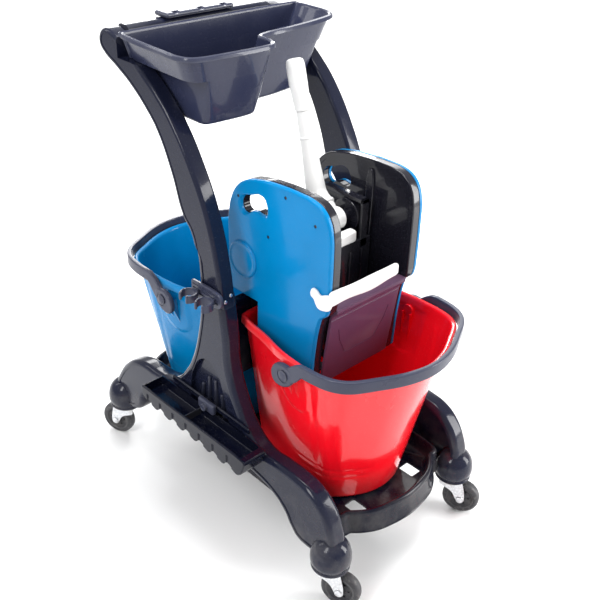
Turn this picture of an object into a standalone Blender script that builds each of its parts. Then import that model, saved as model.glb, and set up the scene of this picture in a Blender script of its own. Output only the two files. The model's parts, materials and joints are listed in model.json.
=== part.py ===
"""Housekeeping cart: two-bucket mopping trolley with a press wringer.

Row frame: metres, +Z up, +X towards the red (front) bucket, +Y to the far side.
Every sub-part is one named object and one closed body.
"""
import math

import bmesh
import bpy
from mathutils import Matrix, Vector

NAME = "housekeeping_cart"
GAP = 0.0003          # air left between pieces that touch
FIT = 0.00008         # radial clearance of a running fit

# ---- frame -----------------------------------------------------------------
FRAME_IN = 0.145      # inner face of each moulded side frame
FRAME_OUT = 0.181     # outer face of each moulded side frame
ARM_IN = 0.150        # inner face of each upper arm
EDGE_R = 0.007        # edge rounding of the big mouldings
CASTER_X = 0.295
CASTER_Y = 0.165
DOME_BOTTOM = 0.090
BAR_X = -0.236
BAR_Z = 0.856
FLOOR_TOP = 0.1355    # top of the base tray's floor

GROUND_Z = 0.010      # height of the ground in the numbers above and below

# The row's origin is the middle of the bounding box's base; this moves the cart there.
ORIGIN_SHIFT = (0.0011, 0.0144, -GROUND_Z)

# ---- casters ---------------------------------------------------------------
WHEEL_R = 0.035
AXLE_Z = GROUND_Z + WHEEL_R
HUB_R = 0.0255
TYRE_W = 0.021
TRAIL = 0.022
FORK_TOP = 0.0845
CHEEK_T = 0.0018
AXLE_R = 0.004

# ---- buckets ---------------------------------------------------------------
BUCKET_WALL = 0.0026
BUCKET_BASE = 0.1385
RIM_Z = 0.432
BAIL_PIVOT = {1: (0.169, 0.406), -1: (0.150, 0.402)}   # distance from the middle and height, by end
BAIL_DISC_R = 0.019

# ---- wringer ---------------------------------------------------------------
SHELL_OUT = 0.106     # outer face of the blue cheeks
SHELL_MID = 0.0985    # where the blue cheek meets the dark liner
SHELL_IN = 0.082      # inner face of the dark liner
SHAFT_X = 0.085
SHAFT_Z = 0.590
SHAFT_R = 0.009
DRUM_R = 0.028
LEVER_Y = 0.020
LEVER_LEAN = math.radians(-16.5)
LEVER_ROOT = (-0.040, 0.030)   # where the neck meets the tube, from the shaft axis
LEVER_SPLIT = 0.1385           # root to the start of the hand grip
LEVER_LENGTH = 0.222           # root to the tip of the hand grip

# ---- tool tray -------------------------------------------------------------
TRAY_RIM_Z = 0.8634   # underside of the rolled rim
TRAY_SEAT_Z = 0.8240
TRAY_FLOOR_Z = 0.750

COLOURS = {
    "slate": ((0.085, 0.092, 0.130), 0.34, 0.0),
    "slate_dark": ((0.045, 0.050, 0.075), 0.40, 0.0),
    "tray_blue": ((0.075, 0.085, 0.135), 0.32, 0.0),
    "graphite": ((0.100, 0.105, 0.115), 0.42, 0.0),
    "red": ((0.800, 0.030, 0.045), 0.28, 0.0),
    "blue": ((0.020, 0.290, 0.660), 0.28, 0.0),
    "liner": ((0.040, 0.042, 0.058), 0.38, 0.0),
    "plum": ((0.160, 0.105, 0.155), 0.40, 0.0),
    "white": ((0.860, 0.860, 0.850), 0.40, 0.0),
    "zinc": ((0.660, 0.660, 0.650), 0.35, 1.0),
    "hub": ((0.180, 0.185, 0.195), 0.45, 0.0),
    "tyre": ((0.040, 0.040, 0.043), 0.70, 0.0),
}


# ---- scene helpers ---------------------------------------------------------
def clear_scene():
    for old in list(bpy.data.objects):
        bpy.data.objects.remove(old, do_unlink=True)


def new_collection(name):
    made = bpy.data.collections.new(name)
    bpy.context.scene.collection.children.link(made)
    return made


clear_scene()
PARTS = new_collection(NAME)
TOOLS = new_collection("cutters")


def make_material(name, look):
    colour, rough, metal = COLOURS[look]
    mat = bpy.data.materials.new(name)
    mat.use_nodes = True
    shader = mat.node_tree.nodes["Principled BSDF"]
    shader.inputs["Base Color"].default_value = (*colour, 1.0)
    shader.inputs["Roughness"].default_value = rough
    shader.inputs["Metallic"].default_value = metal
    mat.diffuse_color = (*colour, 1.0)
    return mat


def add_object(name, mesh, look=None, smooth=True):
    """Link a mesh as a visible part (with a look) or as a hidden tool."""
    made = bpy.data.objects.new(name, mesh)
    if look is None:
        TOOLS.objects.link(made)
        made.hide_render = True
        made.display_type = "WIRE"
        return made
    PARTS.objects.link(made)
    mesh.materials.append(make_material(name, look))
    if smooth:
        mesh.shade_smooth()
        mesh.set_sharp_from_angle(angle=math.radians(35.0))
    return made


def place(made, pos=(0, 0, 0), yaw=0.0):
    made.location = pos
    made.rotation_euler = (0.0, 0.0, yaw)
    return made


def add_bevel(made, width, segments=2, angle=35.0):
    mod = made.modifiers.new("bevel", "BEVEL")
    mod.width = width
    mod.segments = segments
    mod.limit_method = "ANGLE"
    mod.angle_limit = math.radians(angle)
    mod.use_clamp_overlap = True
    return mod


def boolean(made, tool, operation):
    mod = made.modifiers.new(operation.lower(), "BOOLEAN")
    mod.operation = operation
    mod.solver = "EXACT"
    mod.object = tool
    return mod


def cut(made, *tools):
    for tool in tools:
        boolean(made, tool, "DIFFERENCE")


def fuse(made, *tools):
    for tool in tools:
        boolean(made, tool, "UNION")


# ---- shape helpers ---------------------------------------------------------
def mesh_from_bmesh(name, bm):
    bmesh.ops.recalc_face_normals(bm, faces=bm.faces)
    mesh = bpy.data.meshes.new(name)
    bm.to_mesh(mesh)
    bm.free()
    return mesh


def box_mesh(name, low, high):
    bm = bmesh.new()
    size = [b - a for a, b in zip(low, high)]
    mid = [(a + b) / 2 for a, b in zip(low, high)]
    bmesh.ops.create_cube(bm, size=1.0, matrix=Matrix.Translation(mid) @ Matrix.Diagonal((*size, 1.0)))
    return mesh_from_bmesh(name, bm)


def rod_mesh(name, start, end, r_start, r_end=None, segments=20):
    """Cylinder or cone from one point to another."""
    start = Vector(start)
    end = Vector(end)
    turn = (end - start).to_track_quat("Z", "Y").to_matrix().to_4x4()
    bm = bmesh.new()
    bmesh.ops.create_cone(
        bm, cap_ends=True, segments=segments, radius1=r_start,
        radius2=r_start if r_end is None else r_end, depth=(end - start).length,
        matrix=Matrix.Translation((start + end) / 2) @ turn)
    return mesh_from_bmesh(name, bm)


def outline_mesh(name, points, low, high, plane="XZ", offset=0.0, resolution=2):
    """Extruded flat outline. A point is (u, v) for a smooth corner or (u, v, 1) for a sharp one."""
    curve = bpy.data.curves.new(name + "_outline", "CURVE")
    curve.dimensions = "2D"
    curve.fill_mode = "BOTH"
    curve.extrude = (high - low) / 2
    curve.offset = offset
    curve.resolution_u = resolution
    spline = curve.splines.new("BEZIER")
    spline.bezier_points.add(len(points) - 1)
    spline.use_cyclic_u = True
    for knot, point in zip(spline.bezier_points, points):
        knot.co = (point[0], point[1], 0.0)
        kind = "VECTOR" if len(point) > 2 else "AUTO"
        knot.handle_left_type = kind
        knot.handle_right_type = kind
    holder = bpy.data.objects.new(name + "_outline", curve)
    TOOLS.objects.link(holder)
    bpy.context.view_layer.update()
    mesh = bpy.data.meshes.new_from_object(holder.evaluated_get(bpy.context.evaluated_depsgraph_get()))
    bpy.data.objects.remove(holder, do_unlink=True)
    bm = bmesh.new()
    bm.from_mesh(mesh)
    bmesh.ops.remove_doubles(bm, verts=bm.verts, dist=0.00005)
    bmesh.ops.dissolve_limit(bm, angle_limit=math.radians(1.0), verts=bm.verts, edges=bm.edges)
    middle = (low + high) / 2
    if plane == "XZ":
        turn = Matrix.Rotation(math.pi / 2, 4, "X")
        bm.transform(Matrix.Translation((0, middle, 0)) @ turn)
    else:
        bm.transform(Matrix.Translation((0, 0, middle)))
    return mesh_from_bmesh(name, bm)


def smooth_ring(points, steps=2):
    """Closed Catmull-Rom ring through the points."""
    ring = []
    count = len(points)
    for i in range(count):
        a, b, c, d = (Vector(points[(i + k) % count]) for k in (-1, 0, 1, 2))
        for s in range(steps):
            t = s / steps
            ring.append(0.5 * ((2 * b) + (c - a) * t + (2 * a - 5 * b + 4 * c - d) * t * t
                               + (3 * b - 3 * c + d - a) * t * t * t))
    return ring


def push_out(ring, distance):
    """Move a closed plan ring outwards by a distance."""
    count = len(ring)
    area = sum(ring[i].x * ring[(i + 1) % count].y - ring[(i + 1) % count].x * ring[i].y
               for i in range(count))
    side = 1.0 if area > 0 else -1.0
    moved = []
    for i in range(count):
        along = (ring[(i + 1) % count] - ring[i - 1]).normalized()
        moved.append(ring[i] + Vector((along.y, -along.x)) * distance * side)
    return moved


def loft_mesh(name, rings, cap_start=True, cap_end=True):
    """Skin equal-length rings of 3D points."""
    bm = bmesh.new()
    rows = [[bm.verts.new(p) for p in ring] for ring in rings]
    count = len(rings[0])
    for low, high in zip(rows, rows[1:]):
        for i in range(count):
            k = (i + 1) % count
            bm.faces.new((low[i], low[k], high[k], high[i]))
    if cap_start:
        bm.faces.new(rows[0][::-1])
    if cap_end:
        bm.faces.new(rows[-1])
    return mesh_from_bmesh(name, bm)


def lathe_object(name, profile, look=None, segments=32, axis="Z"):
    """Revolve a closed profile of (radius, height) pairs with the Screw tool."""
    mesh = bpy.data.meshes.new(name)
    closed = profile[0] == profile[-1]
    points = profile[:-1] if closed else profile
    edges = [(i, i + 1) for i in range(len(points) - 1)]
    if closed:
        edges.append((len(points) - 1, 0))
    mesh.from_pydata([(r, 0.0, z) for r, z in points], edges, [])
    made = add_object(name, mesh, look, smooth=False)
    mod = made.modifiers.new("turn", "SCREW")
    mod.steps = segments
    mod.render_steps = segments
    mod.use_merge_vertices = True
    mod.merge_threshold = 0.00005
    if axis == "Y":
        made.rotation_euler = (math.pi / 2, 0.0, 0.0)
    return made


def mirrored_ring(half):
    """Full plan ring from the half with y >= 0, first and last points on the centre line."""
    return list(half) + [(x, -y) for x, y in reversed(half[1:-1])]


# ---- side frames and arms --------------------------------------------------
FRAME_OUTLINE = [
    (-0.038, 0.583, 1), (0.040, 0.471, 1), (0.047, 0.420), (0.052, 0.362), (0.070, 0.310),
    (0.098, 0.262), (0.135, 0.236), (0.175, 0.236), (0.219, 0.235), (0.254, 0.228),
    (0.282, 0.208), (0.301, 0.178), (0.310, 0.146), (0.310, 0.112, 1), (0.262, 0.104, 1),
    (0.228, 0.108), (0.209, 0.124), (0.193, 0.146), (0.168, 0.164), (0.130, 0.176),
    (0.060, 0.182), (-0.040, 0.188), (-0.130, 0.192), (-0.180, 0.184), (-0.208, 0.160),
    (-0.222, 0.124), (-0.246, 0.107), (-0.282, 0.104, 1), (-0.308, 0.114, 1), (-0.306, 0.142),
    (-0.288, 0.180), (-0.266, 0.208), (-0.240, 0.228), (-0.205, 0.241), (-0.165, 0.243),
    (-0.128, 0.249), (-0.095, 0.268), (-0.070, 0.298), (-0.050, 0.334), (-0.030, 0.400),
    (-0.021, 0.460), (-0.022, 0.530), (-0.028, 0.560),
]
RECESS_OUTLINE = [
    (-0.052, 0.225, 1), (-0.053, 0.268), (-0.042, 0.316), (-0.022, 0.346), (0.000, 0.353),
    (0.022, 0.340), (0.038, 0.304), (0.050, 0.262), (0.058, 0.225, 1),
]
ARM_OUTLINE = [
    (-0.0385, 0.5838, 1), (-0.057, 0.600), (-0.085, 0.672), (-0.118, 0.731), (-0.143, 0.757),
    (-0.182, 0.787), (-0.220, 0.808), (-0.250, 0.823), (-0.262, 0.836), (-0.261, 0.852),
    (-0.248, 0.863), (-0.228, 0.862), (-0.190, 0.844), (-0.152, 0.818), (-0.112, 0.789),
    (-0.076, 0.755), (-0.026, 0.685), (0.004, 0.625), (0.028, 0.545), (0.0395, 0.4718, 1),
]
SEAT_CUT = (-0.2120, -0.100)    # where the arm's top is notched for the tool tray


def side_pair(near_name, far_name, build):
    """Build a piece for the near side (-1) and for the far side (+1)."""
    return build(near_name, -1), build(far_name, 1)


def dome_mesh(name):
    profile = [(0.0, 0.148), (0.016, 0.145), (0.028, 0.135), (0.0345, 0.121), (0.0350, 0.107),
               (0.0310, 0.094), (0.0275, DOME_BOTTOM), (0.0, DOME_BOTTOM)]
    return lathe_object(name, profile, None, 24)


def build_side_frame(name, side):
    low, high = sorted((side * FRAME_IN, side * FRAME_OUT))
    frame = add_object(name, outline_mesh(name, FRAME_OUTLINE, low, high), "slate")
    add_bevel(frame, EDGE_R, 2)
    pocket_high = side * (FRAME_IN + 0.020)
    pocket_low = side * (FRAME_IN - 0.010)
    low, high = sorted((pocket_low, pocket_high))
    pocket = add_object(name + "_pocket", outline_mesh(name + "_pocket", FRAME_OUTLINE, low, high,
                                                       offset=-0.011, resolution=1))
    cut(frame, pocket)
    low, high = sorted((side * (FRAME_OUT - 0.011), side * (FRAME_OUT + 0.010)))
    recess = add_object(name + "_recess", outline_mesh(name + "_recess", RECESS_OUTLINE, low, high))
    cut(frame, recess)
    for end in (-1, 1):
        dome = dome_mesh(f"{name}_dome_{end}")
        place(dome, (end * CASTER_X, side * CASTER_Y, 0.0))
        fuse(frame, dome)
    return frame


def build_arm(name, side):
    low, high = sorted((side * ARM_IN, side * FRAME_OUT))
    arm = add_object(name, outline_mesh(name, ARM_OUTLINE, low, high), "slate")
    add_bevel(arm, 0.006, 2)
    seat = add_object(name + "_seat", box_mesh(
        name + "_seat", (SEAT_CUT[0], -0.2, TRAY_SEAT_Z - GAP), (SEAT_CUT[1], 0.2, 0.9)))
    cut(arm, seat)
    return arm


def build_base_tray():
    half = [(-0.318, 0.0), (-0.314, 0.040), (-0.304, 0.076), (-0.282, 0.108), (-0.246, 0.1375),
            (0.0, 0.1375), (0.246, 0.1375), (0.282, 0.108), (0.304, 0.076), (0.314, 0.040), (0.318, 0.0)]
    plan = smooth_ring(mirrored_ring(half), 2)
    skirt = [Vector((p.x * 1.025, p.y)) for p in push_out(plan, 0.001)]
    levels = [(skirt, 0.118), (plan, 0.158), (push_out(plan, -0.004), 0.160),
              (push_out(plan, -0.007), 0.158), (push_out(plan, -0.014), FLOOR_TOP + 0.003),
              (push_out(plan, -0.018), FLOOR_TOP)]
    rings = [[(p.x, max(-0.1445, min(0.1445, p.y)), z) for p in ring] for ring, z in levels]
    tray = add_object("base_tray", loft_mesh("base_tray", rings, cap_start=False), "slate_dark")
    skin = tray.modifiers.new("skin", "SOLIDIFY")
    skin.thickness = 0.0035
    skin.offset = -1.0
    for end in (-1, 1):
        for side in (-1, 1):
            slot = add_object(f"slot_{end}_{side}", box_mesh(
                f"slot_{end}_{side}", (-0.016, -0.0125, 0.10), (0.016, 0.0125, 0.15)))
            place(slot, (end * 0.262, side * 0.072, 0.0))
            cut(tray, slot)
    return tray


def build_cross_beam():
    beam = add_object("cross_beam", box_mesh("cross_beam", (-0.0085, -FRAME_IN + GAP, 0.300),
                                             (0.0085, FRAME_IN - GAP, 0.4540)), "slate_dark")
    add_bevel(beam, 0.003, 2)
    return beam


def build_push_bar():
    half_w, half_h = 0.0150, 0.0115
    ring = [(half_w * math.copysign(abs(math.cos(a)) ** 0.7, math.cos(a)),
             half_h * math.copysign(abs(math.sin(a)) ** 0.7, math.sin(a)))
            for a in (math.tau * i / 20 for i in range(20))]
    ends = [[(BAR_X + u, y, BAR_Z + v) for u, v in ring] for y in (-ARM_IN + GAP, ARM_IN - GAP)]
    return add_object("push_bar", loft_mesh("push_bar", ends), "slate")


def build_grip_block():
    low, high = BAR_Z + 0.0115 + GAP, 0.8765
    block = add_object("grip_block", box_mesh("grip_block", (BAR_X - 0.018, -0.077, low),
                                              (BAR_X + 0.018, 0.066, high)), "graphite")
    add_bevel(block, 0.0035, 2)
    for i, y in enumerate((-0.055, -0.003, 0.046)):
        notch = add_object(f"grip_notch_{i}", rod_mesh(
            f"grip_notch_{i}", (BAR_X + 0.006, y, high + 0.003), (BAR_X + 0.06, y, high + 0.003),
            0.010, segments=20))
        cut(block, notch)
    return block


# ---- tool tray -------------------------------------------------------------
def build_tool_tray():
    rim = [(-0.203, -0.160), (-0.196, -0.176), (-0.165, -0.182), (-0.075, -0.187), (-0.040, -0.187),
           (-0.020, -0.172), (-0.013, -0.120), (-0.010, -0.060), (-0.014, -0.032), (-0.034, -0.021),
           (-0.060, -0.017), (-0.070, 0.010), (-0.073, 0.060), (-0.083, 0.130), (-0.096, 0.176),
           (-0.122, 0.192), (-0.160, 0.194), (-0.190, 0.192), (-0.203, 0.176), (-0.203, 0.0)]
    deep = [(-0.190, -0.134), (-0.184, -0.143), (-0.150, -0.1465), (-0.080, -0.1465), (-0.052, -0.1455),
            (-0.040, -0.136), (-0.036, -0.105), (-0.034, -0.062), (-0.038, -0.044), (-0.052, -0.036),
            (-0.076, -0.032), (-0.085, -0.006), (-0.088, 0.050), (-0.097, 0.100), (-0.107, 0.124),
            (-0.128, 0.133), (-0.155, 0.134), (-0.180, 0.133), (-0.190, 0.122), (-0.190, 0.0)]
    rim = smooth_ring(rim, 2)
    deep = smooth_ring(deep, 2)
    rise = (TRAY_SEAT_Z - TRAY_FLOOR_Z) / (TRAY_RIM_Z - TRAY_FLOOR_Z)
    shoulder = [d.lerp(r, rise) for d, r in zip(deep, rim)]
    neck = [Vector((p.x, max(-0.1475, min(0.1475, p.y)))) for p in shoulder]
    levels = [(push_out(deep, -0.008), TRAY_FLOOR_Z), (deep, TRAY_FLOOR_Z + 0.007),
              (neck, TRAY_SEAT_Z), (push_out(shoulder, 0.0003), TRAY_SEAT_Z + 0.0008),
              (rim, TRAY_RIM_Z - 0.002), (push_out(rim, 0.0010), TRAY_RIM_Z),
              (push_out(rim, 0.0024), TRAY_RIM_Z), (push_out(rim, 0.0030), TRAY_RIM_Z - 0.004)]
    rings = [[(p.x, p.y, z) for p in ring] for ring, z in levels]
    tray = add_object("tool_tray", loft_mesh("tool_tray", rings, cap_end=False), "tray_blue")
    skin = tray.modifiers.new("skin", "SOLIDIFY")
    skin.thickness = 0.0026
    skin.offset = 1.0
    return tray


# ---- handle clips and side rack --------------------------------------------
CLIP_Z = 0.488
RAIL_OUT = 0.188


def build_clip_rail():
    rail = add_object("clip_rail", box_mesh("clip_rail", (-0.030, -RAIL_OUT, CLIP_Z - 0.012),
                                            (0.046, -FRAME_OUT - GAP, CLIP_Z + 0.016)), "graphite")
    add_bevel(rail, 0.002, 2)
    for i in range(3):
        z = CLIP_Z - 0.004 + i * 0.007
        groove = add_object(f"rail_groove_{i}", box_mesh(
            f"rail_groove_{i}", (-0.025, -RAIL_OUT - 0.01, z), (0.041, -RAIL_OUT + 0.0015, z + 0.0025)))
        cut(rail, groove)
    return rail


def build_clip(name, x):
    """C clip with a vertical axis, open towards the outside, on a short stalk."""
    outer, inner, half_gap = 0.0150, 0.0118, math.radians(40.0)
    steps = 14
    start = -math.pi / 2 + half_gap
    sweep = math.tau - 2 * half_gap
    angles = [start + sweep * i / steps for i in range(steps + 1)]
    pts = [(outer * math.cos(a), outer * math.sin(a), 1) for a in angles]
    pts += [(inner * math.cos(a), inner * math.sin(a), 1) for a in reversed(angles)]
    clip = add_object(name, outline_mesh(name, pts, -0.007, 0.007, "XY"), "graphite")
    stalk = add_object(name + "_stalk", box_mesh(name + "_stalk", (-0.004, 0.0135, -0.005),
                                                 (0.004, 0.0190, 0.005)))
    place(clip, (x, -RAIL_OUT - GAP - 0.0190, CLIP_Z))
    stalk.parent = clip
    fuse(clip, stalk)
    return clip


RACK_X = (-0.136, 0.150)
RACK_OUT = 0.230
RACK_Z = (0.214, 0.252)


def build_side_rack():
    low_x, high_x = RACK_X
    teeth = 7
    pitch = (high_x - low_x - 0.024) / teeth
    points = [(low_x, RACK_Z[1], 1), (high_x, RACK_Z[1], 1), (high_x, RACK_Z[1] - 0.008, 1)]
    for i in range(teeth):
        right = high_x - 0.016 - i * pitch
        points.append((right, RACK_Z[0] + 0.0008 * i, 1))
        points.append((right - pitch * 0.72, RACK_Z[0] + 0.009 + 0.0008 * i, 1))
    points.append((low_x, RACK_Z[0] + 0.022, 1))
    rack = add_object("side_rack", outline_mesh("side_rack", points, -RACK_OUT, -FRAME_OUT - GAP),
                      "slate_dark")
    add_bevel(rack, 0.0018, 1)
    hollow = add_object("rack_hollow", box_mesh(
        "rack_hollow", (low_x + 0.004, -RACK_OUT + 0.004, RACK_Z[0] + 0.019),
        (high_x - 0.012, -FRAME_OUT - 0.004, 0.30)))
    cut(rack, hollow)
    return rack


def build_rack_rail():
    rail = add_object("rack_rail", box_mesh("rack_rail", (-0.098, -0.187, 0.264),
                                            (0.112, -FRAME_OUT - GAP, 0.275)), "slate_dark")
    add_bevel(rail, 0.002, 2)
    return rail


def build_rack_latch():
    latch = add_object("rack_latch", box_mesh("rack_latch", (-0.012, -0.197, 0.260),
                                              (0.030, -0.187 - GAP, 0.280)), "graphite")
    add_bevel(latch, 0.003, 2)
    knob = add_object("latch_knob", rod_mesh("latch_knob", (0.009, -0.190, 0.270), (0.009, -0.203, 0.270),
                                             0.0065, segments=16))
    fuse(latch, knob)
    return latch


# ---- buckets ---------------------------------------------------------------
RIM_HALF = [(0.018, 0.0), (0.019, 0.102), (0.036, 0.120), (0.090, 0.130), (0.150, 0.1435),
            (0.225, 0.146), (0.268, 0.132), (0.294, 0.090), (0.314, 0.046), (0.322, 0.0)]
BASE_HALF = [(0.036, 0.0), (0.037, 0.076), (0.052, 0.092), (0.095, 0.100), (0.145, 0.104),
             (0.199, 0.102), (0.222, 0.092), (0.240, 0.070), (0.258, 0.036), (0.264, 0.0)]


def bucket_rings(end):
    def facing(half):
        return smooth_ring(mirrored_ring(half), 2)
    rim = facing(RIM_HALF)
    base = facing(BASE_HALF)
    top = RIM_Z - BUCKET_WALL
    levels = [(push_out(base, -0.009), BUCKET_BASE), (push_out(base, -0.002), BUCKET_BASE + 0.003),
              (base, BUCKET_BASE + 0.010), ([b.lerp(r, 0.50) for b, r in zip(base, rim)], 0.288),
              (rim, top - 0.004), (push_out(rim, 0.0025), top), (push_out(rim, 0.0050), top),
              (push_out(rim, 0.0055), top - 0.010)]
    return [[(end * p.x, p.y, z) for p in ring] for ring, z in levels]


def build_bucket(name, end, look):
    rings = bucket_rings(end)
    bucket = add_object(name, loft_mesh(name, rings, cap_end=False), look)
    skin = bucket.modifiers.new("skin", "SOLIDIFY")
    skin.thickness = BUCKET_WALL
    skin.offset = 1.0
    pivot_x, pivot_z = BAIL_PIVOT[end]
    for side in (-1, 1):
        def on_pivot(y):
            return (end * pivot_x, side * y, pivot_z)
        boss = add_object(f"{name}_boss_{side}", rod_mesh(
            f"{name}_boss_{side}", on_pivot(0.1405), on_pivot(0.1555), 0.0105, segments=20))
        fuse(bucket, boss)
        hole = add_object(f"{name}_hole_{side}", rod_mesh(
            f"{name}_hole_{side}", on_pivot(0.1500), on_pivot(0.1800), 0.005 + FIT, segments=20))
        cut(bucket, hole)
    return bucket


def build_bail(name, end):
    """Flat bail hugging the rim from outside, hinged on the two side bosses."""
    disc_y = (0.1560, 0.1655)
    pivot_x, pivot_z = BAIL_PIVOT[end]
    centre = Vector((end * pivot_x, 0.0, pivot_z))
    rim = [p for p in smooth_ring(mirrored_ring(RIM_HALF), 2)]
    inner = push_out(rim, 0.0100)
    outer = push_out(rim, 0.0190)
    path = [i for i, p in enumerate(inner) if p.x > pivot_x + 0.010]
    rings = []
    for i in path:
        a, b = inner[i], outer[i]
        rings.append([(a.x, a.y, 0.4225), (b.x, b.y, 0.4225), (b.x, b.y, 0.4440), (a.x, a.y, 0.4440)])
    first = rings[0][0][1]
    for at_start in (True, False):
        sign = math.copysign(1.0, first if at_start else -first)
        low, high = disc_y
        root = [(pivot_x, sign * low, pivot_z - 0.007), (pivot_x, sign * high, pivot_z - 0.007),
                (pivot_x, sign * high, pivot_z + 0.015), (pivot_x, sign * low, pivot_z + 0.015)]
        if at_start:
            rings.insert(0, root)
        else:
            rings.append(root)
    rings = [[Vector((end * x, y, z)) - centre for x, y, z in ring] for ring in rings]
    bail = add_object(name, loft_mesh(name, rings), "graphite")
    bail.location = centre
    for side in (-1, 1):
        disc = add_object(f"{name}_disc_{side}", rod_mesh(
            f"{name}_disc_{side}", (0.0, side * disc_y[0], 0.0), (0.0, side * disc_y[1], 0.0),
            BAIL_DISC_R, segments=28))
        lobe = add_object(f"{name}_lobe_{side}", rod_mesh(
            f"{name}_lobe_{side}", (-end * 0.0100, side * disc_y[0], -0.0050),
            (-end * 0.0100, side * disc_y[1], -0.0050), BAIL_DISC_R, segments=28))
        for tool in (disc, lobe):
            tool.parent = bail
            fuse(bail, tool)
    for side in (-1, 1):
        hole = add_object(f"{name}_eye_{side}", rod_mesh(
            f"{name}_eye_{side}", (0.0, side * 0.150, 0.0), (0.0, side * 0.175, 0.0), 0.005 + FIT,
            segments=20))
        hole.parent = bail
        cut(bail, hole)
    return bail


def build_bail_pin(name, end, side):
    stem = rod_mesh(name, (0, side * 0.1502, 0), (0, side * 0.1670, 0), 0.005, segments=20)
    pin = add_object(name, stem, "graphite")
    pivot_x, pivot_z = BAIL_PIVOT[end]
    pin.location = (end * pivot_x, 0.0, pivot_z)
    head = add_object(name + "_head", rod_mesh(
        name + "_head", (0, side * 0.1659, 0), (0, side * 0.1690, 0), 0.0095, 0.0075, segments=20))
    head.parent = pin
    fuse(pin, head)
    return pin


# ---- wringer ---------------------------------------------------------------
CHEEK_OUTLINE = [
    (-0.033, 0.4595, 1), (-0.034, 0.560), (-0.033, 0.600), (-0.026, 0.630), (-0.012, 0.653),
    (0.008, 0.668), (0.040, 0.678), (0.086, 0.684), (0.130, 0.6855), (0.158, 0.684),
    (0.178, 0.677), (0.192, 0.662), (0.199, 0.640), (0.2015, 0.600), (0.2015, 0.520, 1),
    (0.197, 0.503), (0.186, 0.493), (0.1815, 0.480), (0.1740, 0.430), (0.1700, 0.350, 1),
    (0.062, 0.336, 1), (0.040, 0.350, 1), (0.040, 0.4595, 1),
]
HANDLE_HOLE = [(-0.002, 0.618), (0.002, 0.638), (0.020, 0.646), (0.050, 0.653), (0.058, 0.645),
               (0.058, 0.622), (0.050, 0.621), (0.030, 0.622), (0.008, 0.611)]


def build_cheek(name, side, inner, outer, look, bevel):
    low, high = sorted((side * inner, side * outer))
    cheek = add_object(name, outline_mesh(name, CHEEK_OUTLINE, low, high), look)
    add_bevel(cheek, bevel, 2 if look == "blue" else 1, 50.0)
    hole = add_object(name + "_grip", outline_mesh(name + "_grip", HANDLE_HOLE, -0.13, 0.13))
    cut(cheek, hole)
    bore = add_object(name + "_bore", rod_mesh(
        name + "_bore", (SHAFT_X, side * 0.070, SHAFT_Z), (SHAFT_X, side * 0.0945, SHAFT_Z),
        SHAFT_R + GAP, segments=20))
    if look == "liner":
        cut(cheek, bore)
        rib = add_object(f"{name}_rib", box_mesh(
            f"{name}_rib", (0.1010, min(side * 0.0797, side * 0.0830), 0.490),
            (0.1120, max(side * 0.0797, side * 0.0830), 0.670)))
        fuse(cheek, rib)
    return cheek


def build_pivot_cover(name, side):
    cover = rod_mesh(name, (0.005, side * (SHELL_OUT + GAP), 0.527),
                     (0.005, side * (SHELL_OUT + 0.0040), 0.527), 0.0330, 0.0300, segments=36)
    return add_object(name, cover, "blue")


def build_front_panel():
    profile = [(0.1840, 0.5070, 1), (0.2005, 0.5070, 1), (0.2005, 0.4995, 1), (0.1895, 0.4880, 1),
               (0.1720, 0.3500, 1), (0.1675, 0.3500, 1), (0.1840, 0.4890, 1)]
    reach = SHELL_IN - GAP
    panel = add_object("wringer_front_panel",
                       outline_mesh("wringer_front_panel", profile, -reach, reach), "plum")
    add_bevel(panel, 0.0012, 1)
    return panel


def build_back_panel():
    profile = [(-0.030, 0.4600, 1), (0.0365, 0.4600, 1), (0.0365, 0.3500, 1), (0.0410, 0.3500, 1),
               (0.0410, 0.5780, 1), (0.0365, 0.5780, 1), (0.0365, 0.4650, 1), (-0.030, 0.4650, 1)]
    reach = SHELL_IN - GAP
    return add_object("wringer_back_panel",
                      outline_mesh("wringer_back_panel", profile, -reach, reach), "liner")


def build_sieve():
    reach = SHELL_IN - GAP
    sieve = add_object("wringer_sieve", box_mesh(
        "wringer_sieve", (0.0415, -reach, 0.3510), (0.1670, reach, 0.3545)), "liner")
    for i in range(5):
        y = -0.060 + 0.030 * i
        slot = add_object(f"sieve_slot_{i}", box_mesh(f"sieve_slot_{i}", (0.055, y - 0.007, 0.34),
                                                      (0.155, y + 0.007, 0.36)))
        cut(sieve, slot)
    return sieve


PLATE_X = (0.1145, 0.1195)


def build_press_plate():
    """Upright press plate with two push bars that run over the shaft's drums."""
    plate = add_object("press_plate", box_mesh("press_plate", (PLATE_X[0], -0.078, 0.3600),
                                               (PLATE_X[1], 0.078, 0.5560)), "liner")
    for i, y in enumerate((-0.060, 0.060)):
        upright = add_object(f"press_upright_{i}", box_mesh(
            f"press_upright_{i}", (PLATE_X[0], y - 0.008, 0.540), (PLATE_X[1], y + 0.008, 0.6260)))
        bar = add_object(f"press_bar_{i}", box_mesh(
            f"press_bar_{i}", (0.030, y - 0.008, SHAFT_Z + DRUM_R + GAP),
            (PLATE_X[1], y + 0.008, 0.6260)))
        fuse(plate, upright, bar)
    for i in range(5):
        y = -0.056 + 0.028 * i
        rib = add_object(f"press_rib_{i}", box_mesh(
            f"press_rib_{i}", (PLATE_X[1] - 0.001, y - 0.002, 0.372),
            (PLATE_X[1] + 0.003, y + 0.002, 0.540)))
        fuse(plate, rib)
    return plate


def build_push_block():
    block = add_object("press_guide_block", box_mesh("press_guide_block", (0.106, -0.004, 0.5560 + GAP),
                                                     (0.1235, 0.040, 0.5780)), "white")
    add_bevel(block, 0.004, 2)
    return block


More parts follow.
